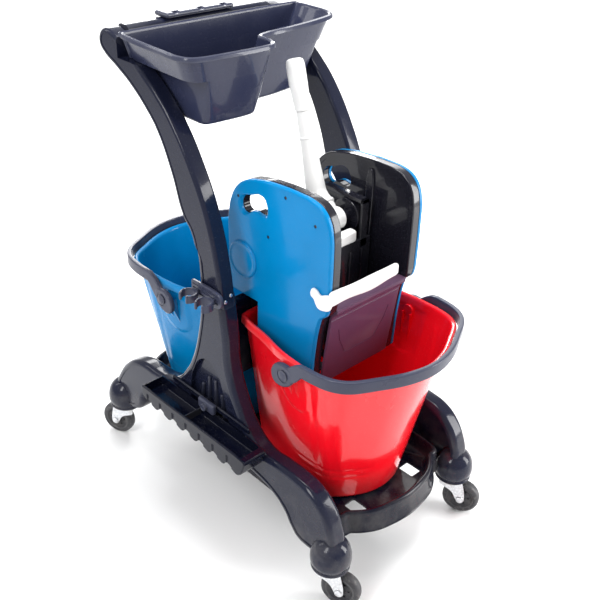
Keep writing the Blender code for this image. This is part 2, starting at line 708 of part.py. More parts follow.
def build_press_shaft():
    """Cross shaft with two round drums; the push bars run on their tops."""
    steps = [(0.0, -0.094), (SHAFT_R, -0.094), (SHAFT_R, -0.070), (DRUM_R, -0.070), (DRUM_R, -0.050),
             (SHAFT_R, -0.050), (SHAFT_R, 0.050), (DRUM_R, 0.050), (DRUM_R, 0.070), (SHAFT_R, 0.070),
             (SHAFT_R, 0.094), (0.0, 0.094)]
    shaft = lathe_object("press_shaft", steps[::-1], "liner", 20, axis="Y")
    shaft.location = (SHAFT_X, 0.0, SHAFT_Z)
    return shaft


def build_lever():
    """Hub, bent neck, flared root and tube as one moulding; the hub is bored for the shaft."""
    up = Vector((math.sin(LEVER_LEAN), 0.0, math.cos(LEVER_LEAN)))
    root = Vector((LEVER_ROOT[0], 0.0, LEVER_ROOT[1]))
    hub = add_object("lever", rod_mesh("lever", (0, -0.014, 0), (0, 0.014, 0), 0.0190, segments=28),
                     "white")
    hub.location = (SHAFT_X, LEVER_Y, SHAFT_Z)
    neck = add_object("lever_neck", rod_mesh("lever_neck", (0, 0, 0.001), root, 0.0138, 0.0150, 20))
    flare = add_object("lever_flare", rod_mesh("lever_flare", root - up * 0.0120, root + up * 0.086,
                                               0.0160, 0.0122, 20))
    tube = add_object("lever_tube", rod_mesh("lever_tube", root + up * 0.084, root + up * LEVER_SPLIT,
                                             0.0119, 0.0112, 20))
    bore = add_object("lever_bore", rod_mesh("lever_bore", (0, -0.03, 0), (0, 0.03, 0), SHAFT_R + FIT,
                                             segments=20))
    for tool in (neck, flare, tube, bore):
        tool.parent = hub
    fuse(hub, neck, flare, tube)
    cut(hub, bore)
    return hub


def build_lever_grip():
    up = Vector((math.sin(LEVER_LEAN), 0.0, math.cos(LEVER_LEAN)))
    top, low = LEVER_LENGTH, LEVER_SPLIT + GAP
    profile = [(0.0, top), (0.008, top - 0.0008), (0.0130, top - 0.005), (0.0152, top - 0.013),
               (0.0150, low + 0.040), (0.0138, low + 0.015), (0.0128, low + 0.004), (0.0105, low),
               (0.0, low)]
    grip = lathe_object("lever_grip", profile, "white", 24)
    grip.location = (SHAFT_X + LEVER_ROOT[0], LEVER_Y, SHAFT_Z + LEVER_ROOT[1])
    grip.rotation_mode = "QUATERNION"
    grip.rotation_quaternion = up.to_track_quat("Z", "Y")
    return grip


def build_guard_bar():
    """White bar across the mouth, hooked round the near cheek's front edge."""
    front = 0.2015 + GAP
    bar = add_object("guard_bar", box_mesh(
        "guard_bar", (front, -0.1125, 0.524), (front + 0.009, 0.0500, 0.551)), "white")
    tab = add_object("guard_tab", box_mesh("guard_tab", (0.168, -0.1125, 0.516),
                                           (front + 0.009, -SHELL_OUT - GAP, 0.546)))
    fuse(bar, tab)
    add_bevel(bar, 0.0020, 2)
    return bar


# ---- casters ---------------------------------------------------------------
def build_caster(tag, x, y, yaw):
    """Swivel caster: fixed bearing, swivelling fork, axle, wheel hub and tyre."""
    spot = (x, y, 0.0)
    race = [(0.0, DOME_BOTTOM - GAP), (0.0260, DOME_BOTTOM - GAP), (0.0230, FORK_TOP + GAP),
            (0.0, FORK_TOP + GAP)]
    bearing = lathe_object(f"{tag}_bearing", race, "zinc", 20)
    place(bearing, spot)
    fork = add_object(f"{tag}_fork", rod_mesh(f"{tag}_fork", (0, 0, FORK_TOP - 0.0022), (0, 0, FORK_TOP),
                                              0.0225, segments=16), "zinc")
    place(fork, spot, yaw)
    cheek_half = 0.0150
    bridge = add_object(f"{tag}_bridge", box_mesh(
        f"{tag}_bridge", (-0.0210, -cheek_half + 0.0004, FORK_TOP - 0.0026),
        (0.0230, cheek_half - 0.0004, FORK_TOP - 0.0006)))
    tools = [bridge]
    for side in (-1, 1):
        low, high = sorted((side * cheek_half, side * (cheek_half - CHEEK_T)))
        top = FORK_TOP - 0.001
        cheek = [(-0.0215, top, 1), (0.0235, top, 1), (0.0305, AXLE_Z + 0.0045, 1),
                 (0.0280, AXLE_Z - 0.0055, 1), (TRAIL, AXLE_Z - 0.0090, 1),
                 (0.0155, AXLE_Z - 0.0055, 1), (-0.0190, 0.0700, 1)]
        label = f"{tag}_cheek_{side}"
        tools.append(add_object(label, outline_mesh(label, cheek, low, high)))
    eye = add_object(f"{tag}_eye", rod_mesh(f"{tag}_eye", (TRAIL, -0.03, AXLE_Z), (TRAIL, 0.03, AXLE_Z),
                                            AXLE_R + FIT, segments=16))
    for tool in tools + [eye]:
        tool.parent = fork
    fuse(fork, *tools)
    cut(fork, eye)
    axle_spot = Vector(spot) + Matrix.Rotation(yaw, 3, "Z") @ Vector((TRAIL, 0.0, AXLE_Z))
    head = cheek_half + GAP
    pin = [(0.0, head + 0.0025), (0.0062, head + 0.0020), (0.0070, head), (AXLE_R, head),
           (AXLE_R, -head), (0.0070, -head), (0.0062, -head - 0.0020), (0.0, -head - 0.0025)]
    axle = lathe_object(f"{tag}_axle", pin, "zinc", 16, axis="Y")
    half = TYRE_W / 2
    bore_r = AXLE_R + FIT
    rim = half - 0.001
    web = [(bore_r, 0.0112), (0.0090, 0.0112), (0.0100, 0.0060), (HUB_R - 0.0050, 0.0060),
           (HUB_R - 0.0025, rim), (HUB_R, rim), (HUB_R, -rim), (HUB_R - 0.0025, -rim),
           (HUB_R - 0.0050, -0.0060), (0.0100, -0.0060), (0.0090, -0.0112), (bore_r, -0.0112),
           (bore_r, 0.0112)]
    hub = lathe_object(f"{tag}_hub", web, "hub", 16, axis="Y")
    inner = HUB_R + GAP
    shoulder = WHEEL_R - 0.0045
    tread = half - 0.0055
    band = [(inner, rim), (shoulder, half), (WHEEL_R, tread), (WHEEL_R, -tread), (shoulder, -half),
            (inner, -rim), (inner, rim)]
    tyre = lathe_object(f"{tag}_tyre", band, "tyre", 32, axis="Y")
    for made in (axle, hub, tyre):
        made.location = axle_spot
        made.rotation_euler = (math.pi / 2, 0.0, yaw)


# ---- assembly --------------------------------------------------------------
build_base_tray()
build_cross_beam()
side_pair("side_frame_near", "side_frame_far", build_side_frame)
side_pair("arm_near", "arm_far", build_arm)
build_push_bar()
build_grip_block()
build_tool_tray()
build_clip_rail()
build_clip("handle_clip_rear", -0.012)
build_clip("handle_clip_front", 0.028)
build_side_rack()
build_rack_rail()
build_rack_latch()

build_bucket("bucket_red", 1, "red")
build_bucket("bucket_blue", -1, "blue")
for colour, way in (("red", 1), ("blue", -1)):
    build_bail(f"bail_{colour}", way)
    build_bail_pin(f"bail_pin_{colour}_near", way, -1)
    build_bail_pin(f"bail_pin_{colour}_far", way, 1)

for label, way in (("near", -1), ("far", 1)):
    build_cheek(f"wringer_cheek_{label}", way, SHELL_MID, SHELL_OUT, "blue", 0.0025)
    build_cheek(f"wringer_liner_{label}", way, SHELL_IN, SHELL_MID - GAP, "liner", 0.0015)
    build_pivot_cover(f"pivot_cover_{label}", way)
build_front_panel()
build_back_panel()
build_sieve()
build_press_plate()
build_push_block()
build_press_shaft()
build_lever()
build_lever_grip()
build_guard_bar()

for tag, x_way, y_way, turn in (("caster_front_near", 1, -1, 24.0), ("caster_front_far", 1, 1, 26.0),
                                ("caster_rear_near", -1, -1, 203.0), ("caster_rear_far", -1, 1, 196.0)):
    build_caster(tag, x_way * CASTER_X, y_way * CASTER_Y, math.radians(turn))

for made in bpy.data.objects:
    if made.parent is None:
        made.location = made.location + Vector(ORIGIN_SHIFT)
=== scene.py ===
"""Looks of the housekeeping cart: finer pieces, materials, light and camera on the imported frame.

Cart coordinates are metres with +Z up, +X towards the red bucket and +Y to the far side, the same
numbers as the part's source. HOME moves them into the row frame.
"""

import json
import math

import bmesh
import bpy
from mathutils import Matrix, Vector


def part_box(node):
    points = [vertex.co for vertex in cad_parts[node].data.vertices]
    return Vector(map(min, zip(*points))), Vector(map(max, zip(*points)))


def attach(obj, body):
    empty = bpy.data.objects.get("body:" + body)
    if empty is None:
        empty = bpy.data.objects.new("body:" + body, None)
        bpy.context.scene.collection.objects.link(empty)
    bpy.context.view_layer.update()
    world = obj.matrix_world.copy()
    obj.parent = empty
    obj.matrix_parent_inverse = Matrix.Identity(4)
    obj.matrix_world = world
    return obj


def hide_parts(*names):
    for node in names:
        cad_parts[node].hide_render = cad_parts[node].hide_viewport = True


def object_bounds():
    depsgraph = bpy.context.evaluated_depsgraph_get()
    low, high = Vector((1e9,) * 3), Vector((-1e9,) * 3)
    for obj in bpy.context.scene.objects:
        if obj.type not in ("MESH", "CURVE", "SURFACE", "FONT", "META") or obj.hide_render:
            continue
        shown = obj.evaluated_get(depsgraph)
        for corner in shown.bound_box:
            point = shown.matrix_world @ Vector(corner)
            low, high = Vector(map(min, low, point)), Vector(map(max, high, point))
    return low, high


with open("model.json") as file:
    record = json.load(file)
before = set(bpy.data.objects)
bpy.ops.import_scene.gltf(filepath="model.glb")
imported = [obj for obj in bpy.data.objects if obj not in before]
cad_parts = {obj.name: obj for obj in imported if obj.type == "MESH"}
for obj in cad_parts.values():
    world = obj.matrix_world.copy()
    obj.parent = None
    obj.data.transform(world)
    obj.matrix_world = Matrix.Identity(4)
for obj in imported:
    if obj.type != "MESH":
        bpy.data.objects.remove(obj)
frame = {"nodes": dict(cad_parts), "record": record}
CAD_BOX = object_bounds()
NODES = frame["nodes"]

# ---- driving dimensions, in cart coordinates ----
BUCKET_BASE = 0.1385
tray_low, tray_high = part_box("base_tray")
HOME = Vector(((tray_low.x + tray_high.x) / 2, (tray_low.y + tray_high.y) / 2,
               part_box("bucket_red")[0].z - BUCKET_BASE))
AIR = 0.0003
FRAME_IN, FRAME_OUT, ARM_IN = 0.145, 0.181, 0.15
CASTER_X, CASTER_Y, DOME_BOTTOM, FORK_TOP = 0.295, 0.165, 0.09, 0.0845
WHEEL_R, HUB_R, TYRE_W, TRAIL, AXLE_Z = 0.035, 0.0255, 0.021, 0.022, 0.045
SEAT_Z, TRAY_RIM_Z, TRAY_FLOOR_Z, TRAY_WALL = 0.824, 0.8634, 0.75, 0.0026
RIM_Z, BUCKET_WALL = 0.432, 0.0026
BAIL_PIVOT = {1: (0.169, 0.406), -1: (0.15, 0.402)}
SHELL_OUT, SHELL_MID, SHELL_IN = 0.106, 0.0985, 0.082
SHAFT_X, SHAFT_Z, SHAFT_R, DRUM_R, LEVER_Y = 0.085, 0.59, 0.009, 0.028, 0.02
LEVER_LEAN = math.radians(-16.5)
LEVER_UP = Vector((math.sin(LEVER_LEAN), 0.0, math.cos(LEVER_LEAN)))
LEVER_ROOT = Vector((-0.04, 0.0, 0.03))
LEVER_LENGTH, LEVER_SPLIT = 0.222, 0.1385
CLIP_Z = 0.488

# ---- camera, round the middle of the cart ----
CAMERA_AZIMUTH, CAMERA_ELEVATION, CAMERA_ROLL = 45.003, 30.784, 2.152
CAMERA_DISTANCE, CAMERA_LENS = 1.6007, 52.71
CAMERA_TARGET = Vector((0.0056, 0.0297, 0.3952))


# ==== shape helpers ====
def mm(*points):
    """Points or profile steps given in millimetres, as metres; a third value marks a sharp corner."""
    return [(a / 1000, b / 1000, *flag) for a, b, *flag in points]


def new_object(name, data):
    made = bpy.data.objects.new(name, data)
    bpy.context.scene.collection.objects.link(made)
    return made


def mesh_from_bmesh(name, bm):
    bmesh.ops.recalc_face_normals(bm, faces=bm.faces)
    mesh = bpy.data.meshes.new(name)
    bm.to_mesh(mesh)
    bm.free()
    return mesh


def block(name, low, high):
    bm = bmesh.new()
    size = [b - a for a, b in zip(low, high)]
    mid = [(a + b) / 2 for a, b in zip(low, high)]
    bmesh.ops.create_cube(bm, size=1.0, matrix=Matrix.Translation(mid) @ Matrix.Diagonal((*size, 1.0)))
    return new_object(name, mesh_from_bmesh(name, bm))


def soft_block(name, low, high, round_width, segments=3):
    return bevel(block(name, low, high), round_width, segments)


def both_ends(half):
    """Profile that is the same above and below height 0, from its upper half."""
    return half + [(radius, -height) for radius, height in reversed(half)]


def turned(name, profile, segments=48, start=(0, 0, 0), along=(0, 0, 1)):
    """Revolve (radius, height) pairs about an axis; first and last radius 0 closes it, else it is a ring."""
    bm = bmesh.new()
    rows = []
    for radius, height in profile:
        if radius < 1e-6:
            rows.append([bm.verts.new((0.0, 0.0, height))])
            continue
        rows.append([bm.verts.new((radius * math.cos(math.tau * i / segments),
                                   radius * math.sin(math.tau * i / segments), height))
                     for i in range(segments)])
    pairs = list(zip(rows, rows[1:]))
    if len(rows[0]) > 1:
        pairs.append((rows[-1], rows[0]))
    for a, b in pairs:
        for i in range(segments):
            k = (i + 1) % segments
            corners = [a[i % len(a)], a[k % len(a)], b[k % len(b)], b[i % len(b)]]
            unique = list(dict.fromkeys(corners))
            if len(unique) > 2:
                bm.faces.new(unique)
    turn = Vector(along).to_track_quat("Z", "Y").to_matrix().to_4x4()
    bm.transform(Matrix.Translation(start) @ turn)
    return new_object(name, mesh_from_bmesh(name, bm))


def rod(name, start, end, radius, round_edge=0.0, segments=40):
    """Round bar with rounded rims."""
    start, end = Vector(start), Vector(end)
    length = (end - start).length
    arc = [(radius - round_edge * (1 - math.cos(t)), round_edge * (1 - math.sin(t)))
           for t in (math.pi / 2 * i / 4 for i in range(5))] if round_edge else [(radius, 0.0)]
    bottom = [(r, h) for r, h in reversed(arc)]
    top = [(r, length - h) for r, h in arc]
    profile = [(0.0, 0.0)] + bottom + top + [(0.0, length)]
    return turned(name, profile, segments, start, end - start)


def outlined(name, points, low, high, plane="XZ", offset=0.0, resolution=8):
    """Plate cut to a flat outline. A point is (u, v) for a smooth corner or (u, v, 1) for a sharp one."""
    curve = bpy.data.curves.new(name + "_outline", "CURVE")
    curve.dimensions = "2D"
    curve.fill_mode = "BOTH"
    curve.extrude = (high - low) / 2
    curve.offset = offset
    curve.resolution_u = resolution
    spline = curve.splines.new("BEZIER")
    spline.bezier_points.add(len(points) - 1)
    spline.use_cyclic_u = True
    for knot, point in zip(spline.bezier_points, points):
        knot.co = (point[0], point[1], 0.0)
        kind = "VECTOR" if len(point) > 2 else "AUTO"
        knot.handle_left_type = kind
        knot.handle_right_type = kind
    holder = new_object(name + "_outline", curve)
    bpy.context.view_layer.update()
    mesh = bpy.data.meshes.new_from_object(holder.evaluated_get(bpy.context.evaluated_depsgraph_get()))
    bpy.data.objects.remove(holder, do_unlink=True)
    bm = bmesh.new()
    bm.from_mesh(mesh)
    bmesh.ops.remove_doubles(bm, verts=bm.verts, dist=0.00005)
    bmesh.ops.dissolve_limit(bm, angle_limit=math.radians(1.0), verts=bm.verts, edges=bm.edges)
    middle = (low + high) / 2
    if plane == "XZ":
        bm.transform(Matrix.Translation((0, middle, 0)) @ Matrix.Rotation(math.pi / 2, 4, "X"))
    else:
        bm.transform(Matrix.Translation((0, 0, middle)))
    return new_object(name, mesh_from_bmesh(name, bm))


def smooth_ring(points, steps):
    """Closed Catmull-Rom ring through the points."""
    count = len(points)
    ring = []
    for i in range(count):
        a, b, c, d = (Vector(points[(i + k) % count]) for k in (-1, 0, 1, 2))
        for s in range(steps):
            t = s / steps
            ring.append(0.5 * ((2 * b) + (c - a) * t + (2 * a - 5 * b + 4 * c - d) * t * t
                               + (3 * b - 3 * c + d - a) * t * t * t))
    return ring


def push_out(ring, distance):
    """Move a closed plan ring outwards by a distance."""
    count = len(ring)
    area = sum(ring[i].x * ring[(i + 1) % count].y - ring[(i + 1) % count].x * ring[i].y
               for i in range(count))
    side = 1.0 if area > 0 else -1.0
    moved = []
    for i in range(count):
        along = (ring[(i + 1) % count] - ring[i - 1]).normalized()
        moved.append(ring[i] + Vector((along.y, -along.x)) * distance * side)
    return moved


def mirrored_ring(half):
    """Full plan ring from the half with y >= 0, first and last points on the centre line."""
    return list(half) + [(x, -y) for x, y in reversed(half[1:-1])]


def lofted(name, rings, cap_start=True, cap_end=True):
    """Skin equal-length rings of 3D points."""
    bm = bmesh.new()
    rows = [[bm.verts.new(p) for p in ring] for ring in rings]
    count = len(rings[0])
    for low, high in zip(rows, rows[1:]):
        for i in range(count):
            k = (i + 1) % count
            bm.faces.new((low[i], low[k], high[k], high[i]))
    if cap_start:
        bm.faces.new(rows[0][::-1])
    if cap_end:
        bm.faces.new(rows[-1])
    return new_object(name, mesh_from_bmesh(name, bm))


def swept(name, path, half_wide, half_high, power=0.45, points=20, up=Vector((0, 0, 1)), sizes=None):
    """Rounded-rectangle bar along a path; sizes scales the section at each path point."""
    rings = []
    last = len(path) - 1
    for i, p in enumerate(path):
        along = (path[min(i + 1, last)] - path[max(i - 1, 0)]).normalized()
        side = along.cross(up).normalized()
        top = side.cross(along).normalized()
        grow_w, grow_h = sizes[i] if sizes else (1.0, 1.0)
        ring = []
        for a in (math.tau * k / points for k in range(points)):
            u = math.copysign(abs(math.cos(a)) ** power, math.cos(a)) * half_wide * grow_w
            v = math.copysign(abs(math.sin(a)) ** power, math.sin(a)) * half_high * grow_h
            ring.append(p + side * u + top * v)
        rings.append(ring)
    return lofted(name, rings)


def solidify(made, thickness, offset=1.0):
    mod = made.modifiers.new("skin", "SOLIDIFY")
    mod.thickness = thickness
    mod.offset = offset
    return made


def bevel(made, width, segments=3, angle=35.0):
    mod = made.modifiers.new("bevel", "BEVEL")
    mod.width = width
    mod.segments = segments
    mod.limit_method = "ANGLE"
    mod.angle_limit = math.radians(angle)
    return made


def cut(made, *tools):
    """Take each tool away from the piece; the tools are used up by bake()."""
    for tool in tools:
        mod = made.modifiers.new("difference", "BOOLEAN")
        mod.operation = "DIFFERENCE"
        mod.solver = "MANIFOLD"
        mod.object = tool
        tool.hide_render = True
    return made


def bake(made):
    """Apply every modifier and drop the boolean tools."""
    tools = [mod.object for mod in made.modifiers if mod.type == "BOOLEAN"]
    bpy.context.view_layer.update()
    mesh = bpy.data.meshes.new_from_object(made.evaluated_get(bpy.context.evaluated_depsgraph_get()))
    made.modifiers.clear()
    made.data = mesh
    for tool in tools:
        bpy.data.objects.remove(tool, do_unlink=True)
    return made


def joined(name, pieces):
    """One object from several closed pieces that touch or sit inside each other."""
    bm = bmesh.new()
    for piece in pieces:
        bake(piece)
        piece.data.transform(piece.matrix_world)
        bm.from_mesh(piece.data)
        bpy.data.objects.remove(piece, do_unlink=True)
    mesh = bpy.data.meshes.new(name)
    bm.to_mesh(mesh)
    bm.free()
    return new_object(name, mesh)


def piece(made, body, slot, stands_for=(), angle=38.0):
    """Finish a piece: shading, material, place in the row frame and the body it rides on."""
    bake(made)
    mesh = made.data
    mesh.materials.clear()
    mesh.materials.append(MATERIALS[slot])
    mesh.shade_smooth()
    mesh.set_sharp_from_angle(angle=math.radians(angle))
    flat = made.modifiers.new("flat_faces", "WEIGHTED_NORMAL")
    flat.keep_sharp = True
    made.location = made.location + HOME
    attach(made, body)
    if stands_for:
        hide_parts(*stands_for)
    return made


# ==== materials ====
def nodes_of(name):
    mat = bpy.data.materials.new(name)
    mat.use_nodes = True
    tree = mat.node_tree
    return mat, tree, tree.nodes["Principled BSDF"]


def noise(tree, place, scale, detail=3.0, rough=0.55, stretch=None):
    if stretch:
        mapping = tree.nodes.new("ShaderNodeMapping")
        mapping.inputs["Scale"].default_value = stretch
        tree.links.new(place, mapping.inputs["Vector"])
        place = mapping.outputs["Vector"]
    made = tree.nodes.new("ShaderNodeTexNoise")
    made.inputs["Scale"].default_value = scale
    made.inputs["Detail"].default_value = detail
    made.inputs["Roughness"].default_value = rough
    tree.links.new(place, made.inputs["Vector"])
    return made.outputs["Fac"]


def remap(tree, value, low, high, to_low, to_high):
    made = tree.nodes.new("ShaderNodeMapRange")
    for end, number in (("From Min", low), ("From Max", high), ("To Min", to_low), ("To Max", to_high)):
        made.inputs[end].default_value = number
    tree.links.new(value, made.inputs["Value"])
    return made.outputs["Result"]


def multiply(tree, a, b):
    made = tree.nodes.new("ShaderNodeMath")
    made.operation = "MULTIPLY"
    tree.links.new(a, made.inputs[0])
    tree.links.new(b, made.inputs[1])
    return made.outputs["Value"]


def mix_colour(tree, factor, a, b):
    """Mix two colours; each is a tuple or a socket."""
    made = tree.nodes.new("ShaderNodeMix")
    made.data_type = "RGBA"
    tree.links.new(factor, made.inputs["Factor"])
    for name, value in (("A", a), ("B", b)):
        socket = [s for s in made.inputs if s.name == name and s.type == "RGBA"][0]
        if isinstance(value, tuple):
            socket.default_value = (*value, 1.0)
        else:
            tree.links.new(value, socket)
    return [s for s in made.outputs if s.type == "RGBA"][0]


def bump(tree, height, strength, depth, onto=None):
    made = tree.nodes.new("ShaderNodeBump")
    made.inputs["Strength"].default_value = strength
    made.inputs["Distance"].default_value = depth
    tree.links.new(height, made.inputs["Height"])
    if onto is not None:
        tree.links.new(onto, made.inputs["Normal"])
    return made.outputs["Normal"]


def shade(colour, factor):
    return tuple(min(1.0, c * factor) for c in colour)


def faded(colour, amount, towards=0.45):
    return tuple(c + (towards - c) * amount for c in colour)


def moulded_plastic(name, colour, rough, grain, scuffs, gloss, seed, shine_level=0.18):
    """Injection-moulded polypropylene: faint flow waves, fine grain, hairline scuffs and floor dust."""
    mat, tree, shader = nodes_of(name)
    coords = tree.nodes.new("ShaderNodeTexCoord")
    shift = tree.nodes.new("ShaderNodeMapping")
    shift.inputs["Location"].default_value = (seed, seed * 0.7, seed * 0.3)
    tree.links.new(coords.outputs["Object"], shift.inputs["Vector"])
    place = shift.outputs["Vector"]
    tone = noise(tree, place, 7.0, 3.0)
    base = mix_colour(tree, remap(tree, tone, 0.35, 0.65, 0.0, 1.0), shade(colour, 0.93), shade(colour, 1.07))
    speck = noise(tree, place, 420.0, 2.0)
    base = mix_colour(tree, remap(tree, speck, 0.62, 0.8, 0.0, 0.35), base, faded(colour, 0.18))
    hair = noise(tree, place, 55.0, 4.0, 0.7, (1.0, 1.0, 9.0))
    patch = noise(tree, place, 9.0, 2.0)
    scuff = multiply(tree, remap(tree, hair, 0.6, 0.72, 0.0, 1.0), remap(tree, patch, 0.5, 0.68, 0.0, scuffs))
    base = mix_colour(tree, scuff, base, faded(colour, 0.3))
    geometry = tree.nodes.new("ShaderNodeNewGeometry")
    worn = multiply(tree, remap(tree, geometry.outputs["Pointiness"], 0.53, 0.62, 0.0, 0.55),
                    remap(tree, patch, 0.4, 0.62, 0.0, 1.0))
    base = mix_colour(tree, worn, base, faded(colour, 0.25, 0.6))
    split = tree.nodes.new("ShaderNodeSeparateXYZ")
    tree.links.new(coords.outputs["Object"], split.inputs["Vector"])
    dust = multiply(tree, remap(tree, split.outputs["Z"], 0.22, 0.09, 0.0, 0.16),
                    remap(tree, noise(tree, place, 26.0, 5.0), 0.4, 0.66, 0.0, 1.0))
    base = mix_colour(tree, dust, base, (0.3, 0.28, 0.25))
    tree.links.new(base, shader.inputs["Base Color"])
    smear = noise(tree, place, 18.0, 4.0)
    shine = remap(tree, smear, 0.3, 0.72, rough - 0.05, rough + 0.09)
    lift = tree.nodes.new("ShaderNodeMath")
    lift.operation = "ADD"
    tree.links.new(shine, lift.inputs[0])
    tree.links.new(multiply(tree, scuff, remap(tree, hair, 0.0, 1.0, 0.35, 0.35)), lift.inputs[1])
    tree.links.new(lift.outputs["Value"], shader.inputs["Roughness"])
    wave = bump(tree, noise(tree, place, 16.0, 1.0), 0.1, 0.0012)
    fine = bump(tree, noise(tree, place, 750.0, 2.0), grain, 0.00008, wave)
    line = bump(tree, hair, 0.08, 0.00015, fine)
    tree.links.new(line, shader.inputs["Normal"])
    shader.inputs["Coat Weight"].default_value = gloss
    shader.inputs["Coat Roughness"].default_value = 0.05
    shader.inputs["Specular IOR Level"].default_value = shine_level
    mat.diffuse_color = (*colour, 1.0)
    return mat


def zinc_plate(name):
    """Pressed zinc-plated steel: pale spangle, brushing marks and a little tarnish."""
    mat, tree, shader = nodes_of(name)
    place = tree.nodes.new("ShaderNodeTexCoord").outputs["Object"]
    cells = tree.nodes.new("ShaderNodeTexVoronoi")
    cells.inputs["Scale"].default_value = 260.0
    tree.links.new(place, cells.inputs["Vector"])
    spangle = remap(tree, cells.outputs["Distance"], 0.0, 0.7, 0.0, 1.0)
    base = mix_colour(tree, spangle, (0.8, 0.8, 0.82), (0.6, 0.61, 0.63))
    stain = remap(tree, noise(tree, place, 60.0, 5.0), 0.52, 0.72, 0.0, 0.55)
    base = mix_colour(tree, stain, base, (0.36, 0.34, 0.31))
    tree.links.new(base, shader.inputs["Base Color"])
    shader.inputs["Metallic"].default_value = 1.0
    brush = noise(tree, place, 120.0, 4.0, 0.6, (1.0, 1.0, 14.0))
    tree.links.new(remap(tree, brush, 0.3, 0.7, 0.22, 0.42), shader.inputs["Roughness"])
    tree.links.new(bump(tree, brush, 0.25, 0.0001), shader.inputs["Normal"])
    mat.diffuse_color = (0.7, 0.7, 0.7, 1.0)
    return mat


def tyre_rubber(name):
    """Soft dark rubber with a dusty tread."""
    mat, tree, shader = nodes_of(name)
    place = tree.nodes.new("ShaderNodeTexCoord").outputs["Object"]
    tone = remap(tree, noise(tree, place, 40.0, 4.0), 0.35, 0.7, 0.0, 1.0)
    base = mix_colour(tree, tone, (0.02, 0.02, 0.024), (0.042, 0.042, 0.048))
    dust = remap(tree, noise(tree, place, 150.0, 5.0), 0.52, 0.7, 0.0, 0.5)
    base = mix_colour(tree, dust, base, (0.16, 0.15, 0.14))
    tree.links.new(base, shader.inputs["Base Color"])
    dull = remap(tree, noise(tree, place, 70.0, 3.0), 0.3, 0.7, 0.42, 0.62)
    tree.links.new(dull, shader.inputs["Roughness"])
    tree.links.new(bump(tree, noise(tree, place, 500.0, 3.0), 0.35, 0.00012), shader.inputs["Normal"])
    mat.diffuse_color = (0.03, 0.03, 0.03, 1.0)
    return mat


# slot: colour, roughness, grain, scuffs, gloss of the coat, noise offset and specular level
PLASTICS = {
    "moulded_slate": ((0.009, 0.011, 0.026), 0.16, 0.14, 0.16, 0.22, 1.3, 0.14),
    "moulded_slate_dark": ((0.003, 0.004, 0.012), 0.18, 0.16, 0.2, 0.18, 2.1, 0.12),
    "tray_blue_grey": ((0.022, 0.026, 0.056), 0.24, 0.22, 0.2, 0.3, 3.7),
    "graphite": ((0.038, 0.042, 0.07), 0.3, 0.45, 0.24, 0.2, 4.9),
    "red_plastic": ((0.78, 0.004, 0.012), 0.2, 0.18, 0.1, 0.55, 5.3),
    "blue_plastic": ((0.0, 0.195, 0.47), 0.2, 0.18, 0.06, 0.1, 6.1, 0.1),
    "liner_dark": ((0.01, 0.01, 0.016), 0.22, 0.26, 0.24, 0.45, 7.7),
    "plum_plastic": ((0.092, 0.042, 0.086), 0.36, 0.5, 0.22, 0.1, 8.2),
    "white_plastic": ((0.84, 0.84, 0.83), 0.34, 0.4, 0.2, 0.2, 9.4),
    "hub_plastic": ((0.03, 0.03, 0.036), 0.42, 0.6, 0.3, 0.1, 10.6),
}
MATERIALS = {slot: moulded_plastic(slot, *look) for slot, look in PLASTICS.items()}
MATERIALS["zinc_steel"] = zinc_plate("zinc_steel")
MATERIALS["tyre_rubber"] = tyre_rubber("tyre_rubber")
NODE_SLOT = {part["node"]: part["material_slot"] for part in frame["record"]["subparts"]}
for node_name, node in NODES.items():
    node.data.materials.clear()
    node.data.materials.append(MATERIALS[NODE_SLOT[node_name]])

# ==== side frames and arms ====
SIDES = (("near", -1), ("far", 1))
LEG_OUTLINE = mm(
    (47, 420), (52, 362), (70, 310), (98, 262), (135, 236), (175, 236), (219, 235), (254, 228),
    (282, 208), (301, 178), (310, 146), (306, 116), (284, 104), (258, 104), (228, 108), (209, 124),
    (193, 146), (168, 164), (130, 176), (60, 182), (-40, 188), (-130, 192), (-180, 184), (-208, 160),
    (-222, 124), (-246, 107), (-276, 104), (-302, 116), (-306, 142), (-288, 180), (-266, 208),
    (-240, 228), (-205, 241), (-165, 243), (-128, 249), (-95, 268), (-70, 298), (-50, 334), (-30, 400),
    (-21, 460), (-22, 530), (-28, 560))
ABOVE_SEAM = mm(
    (-43, 597), (-60, 630), (-28, 655), (0, 630), (24, 545))
ARM_OUTLINE = mm(
    (-38.5, 583.8), (-57, 604), (-85, 672), (-118, 731), (-143, 757), (-182, 787), (-220, 808),
    (-250, 823), (-262, 836), (-261, 852), (-248, 863), (-228, 862), (-190, 844), (-152, 818),
    (-112, 789), (-76, 755), (-26, 685), (4, 625), (28, 545), (39.5, 471.8))
BELOW_SEAM = mm(
    (44, 430), (20, 400), (-14, 410), (-24, 470), (-26, 540))
RECESS_OUTLINE = mm(
    (-52, 225, 1), (-53, 268), (-42, 316), (-22, 346), (0, 353), (22, 340), (38, 304), (50, 262),
    (58, 225, 1))
SEAM_REAR, SEAM_FRONT = Vector((-0.038, 0.583)), Vector((0.04, 0.471))


def between(side, a, b):
    return sorted((side * a, side * b))


def beyond_seam(name, above):
    """Block on one side of the seam between leg and arm, used to cut the other moulding."""
    run = (SEAM_FRONT - SEAM_REAR).normalized()
    across = Vector((-run.y, run.x)) * (1.0 if above else -1.0)
    start = SEAM_REAR - run * 0.1 + across * AIR / 2
    end = SEAM_FRONT + run * 0.1 + across * AIR / 2
    corners = [start, end, end + across * 0.35, start + across * 0.35]
    return outlined(name, [(c.x, c.y, 1) for c in corners], -0.3, 0.3)


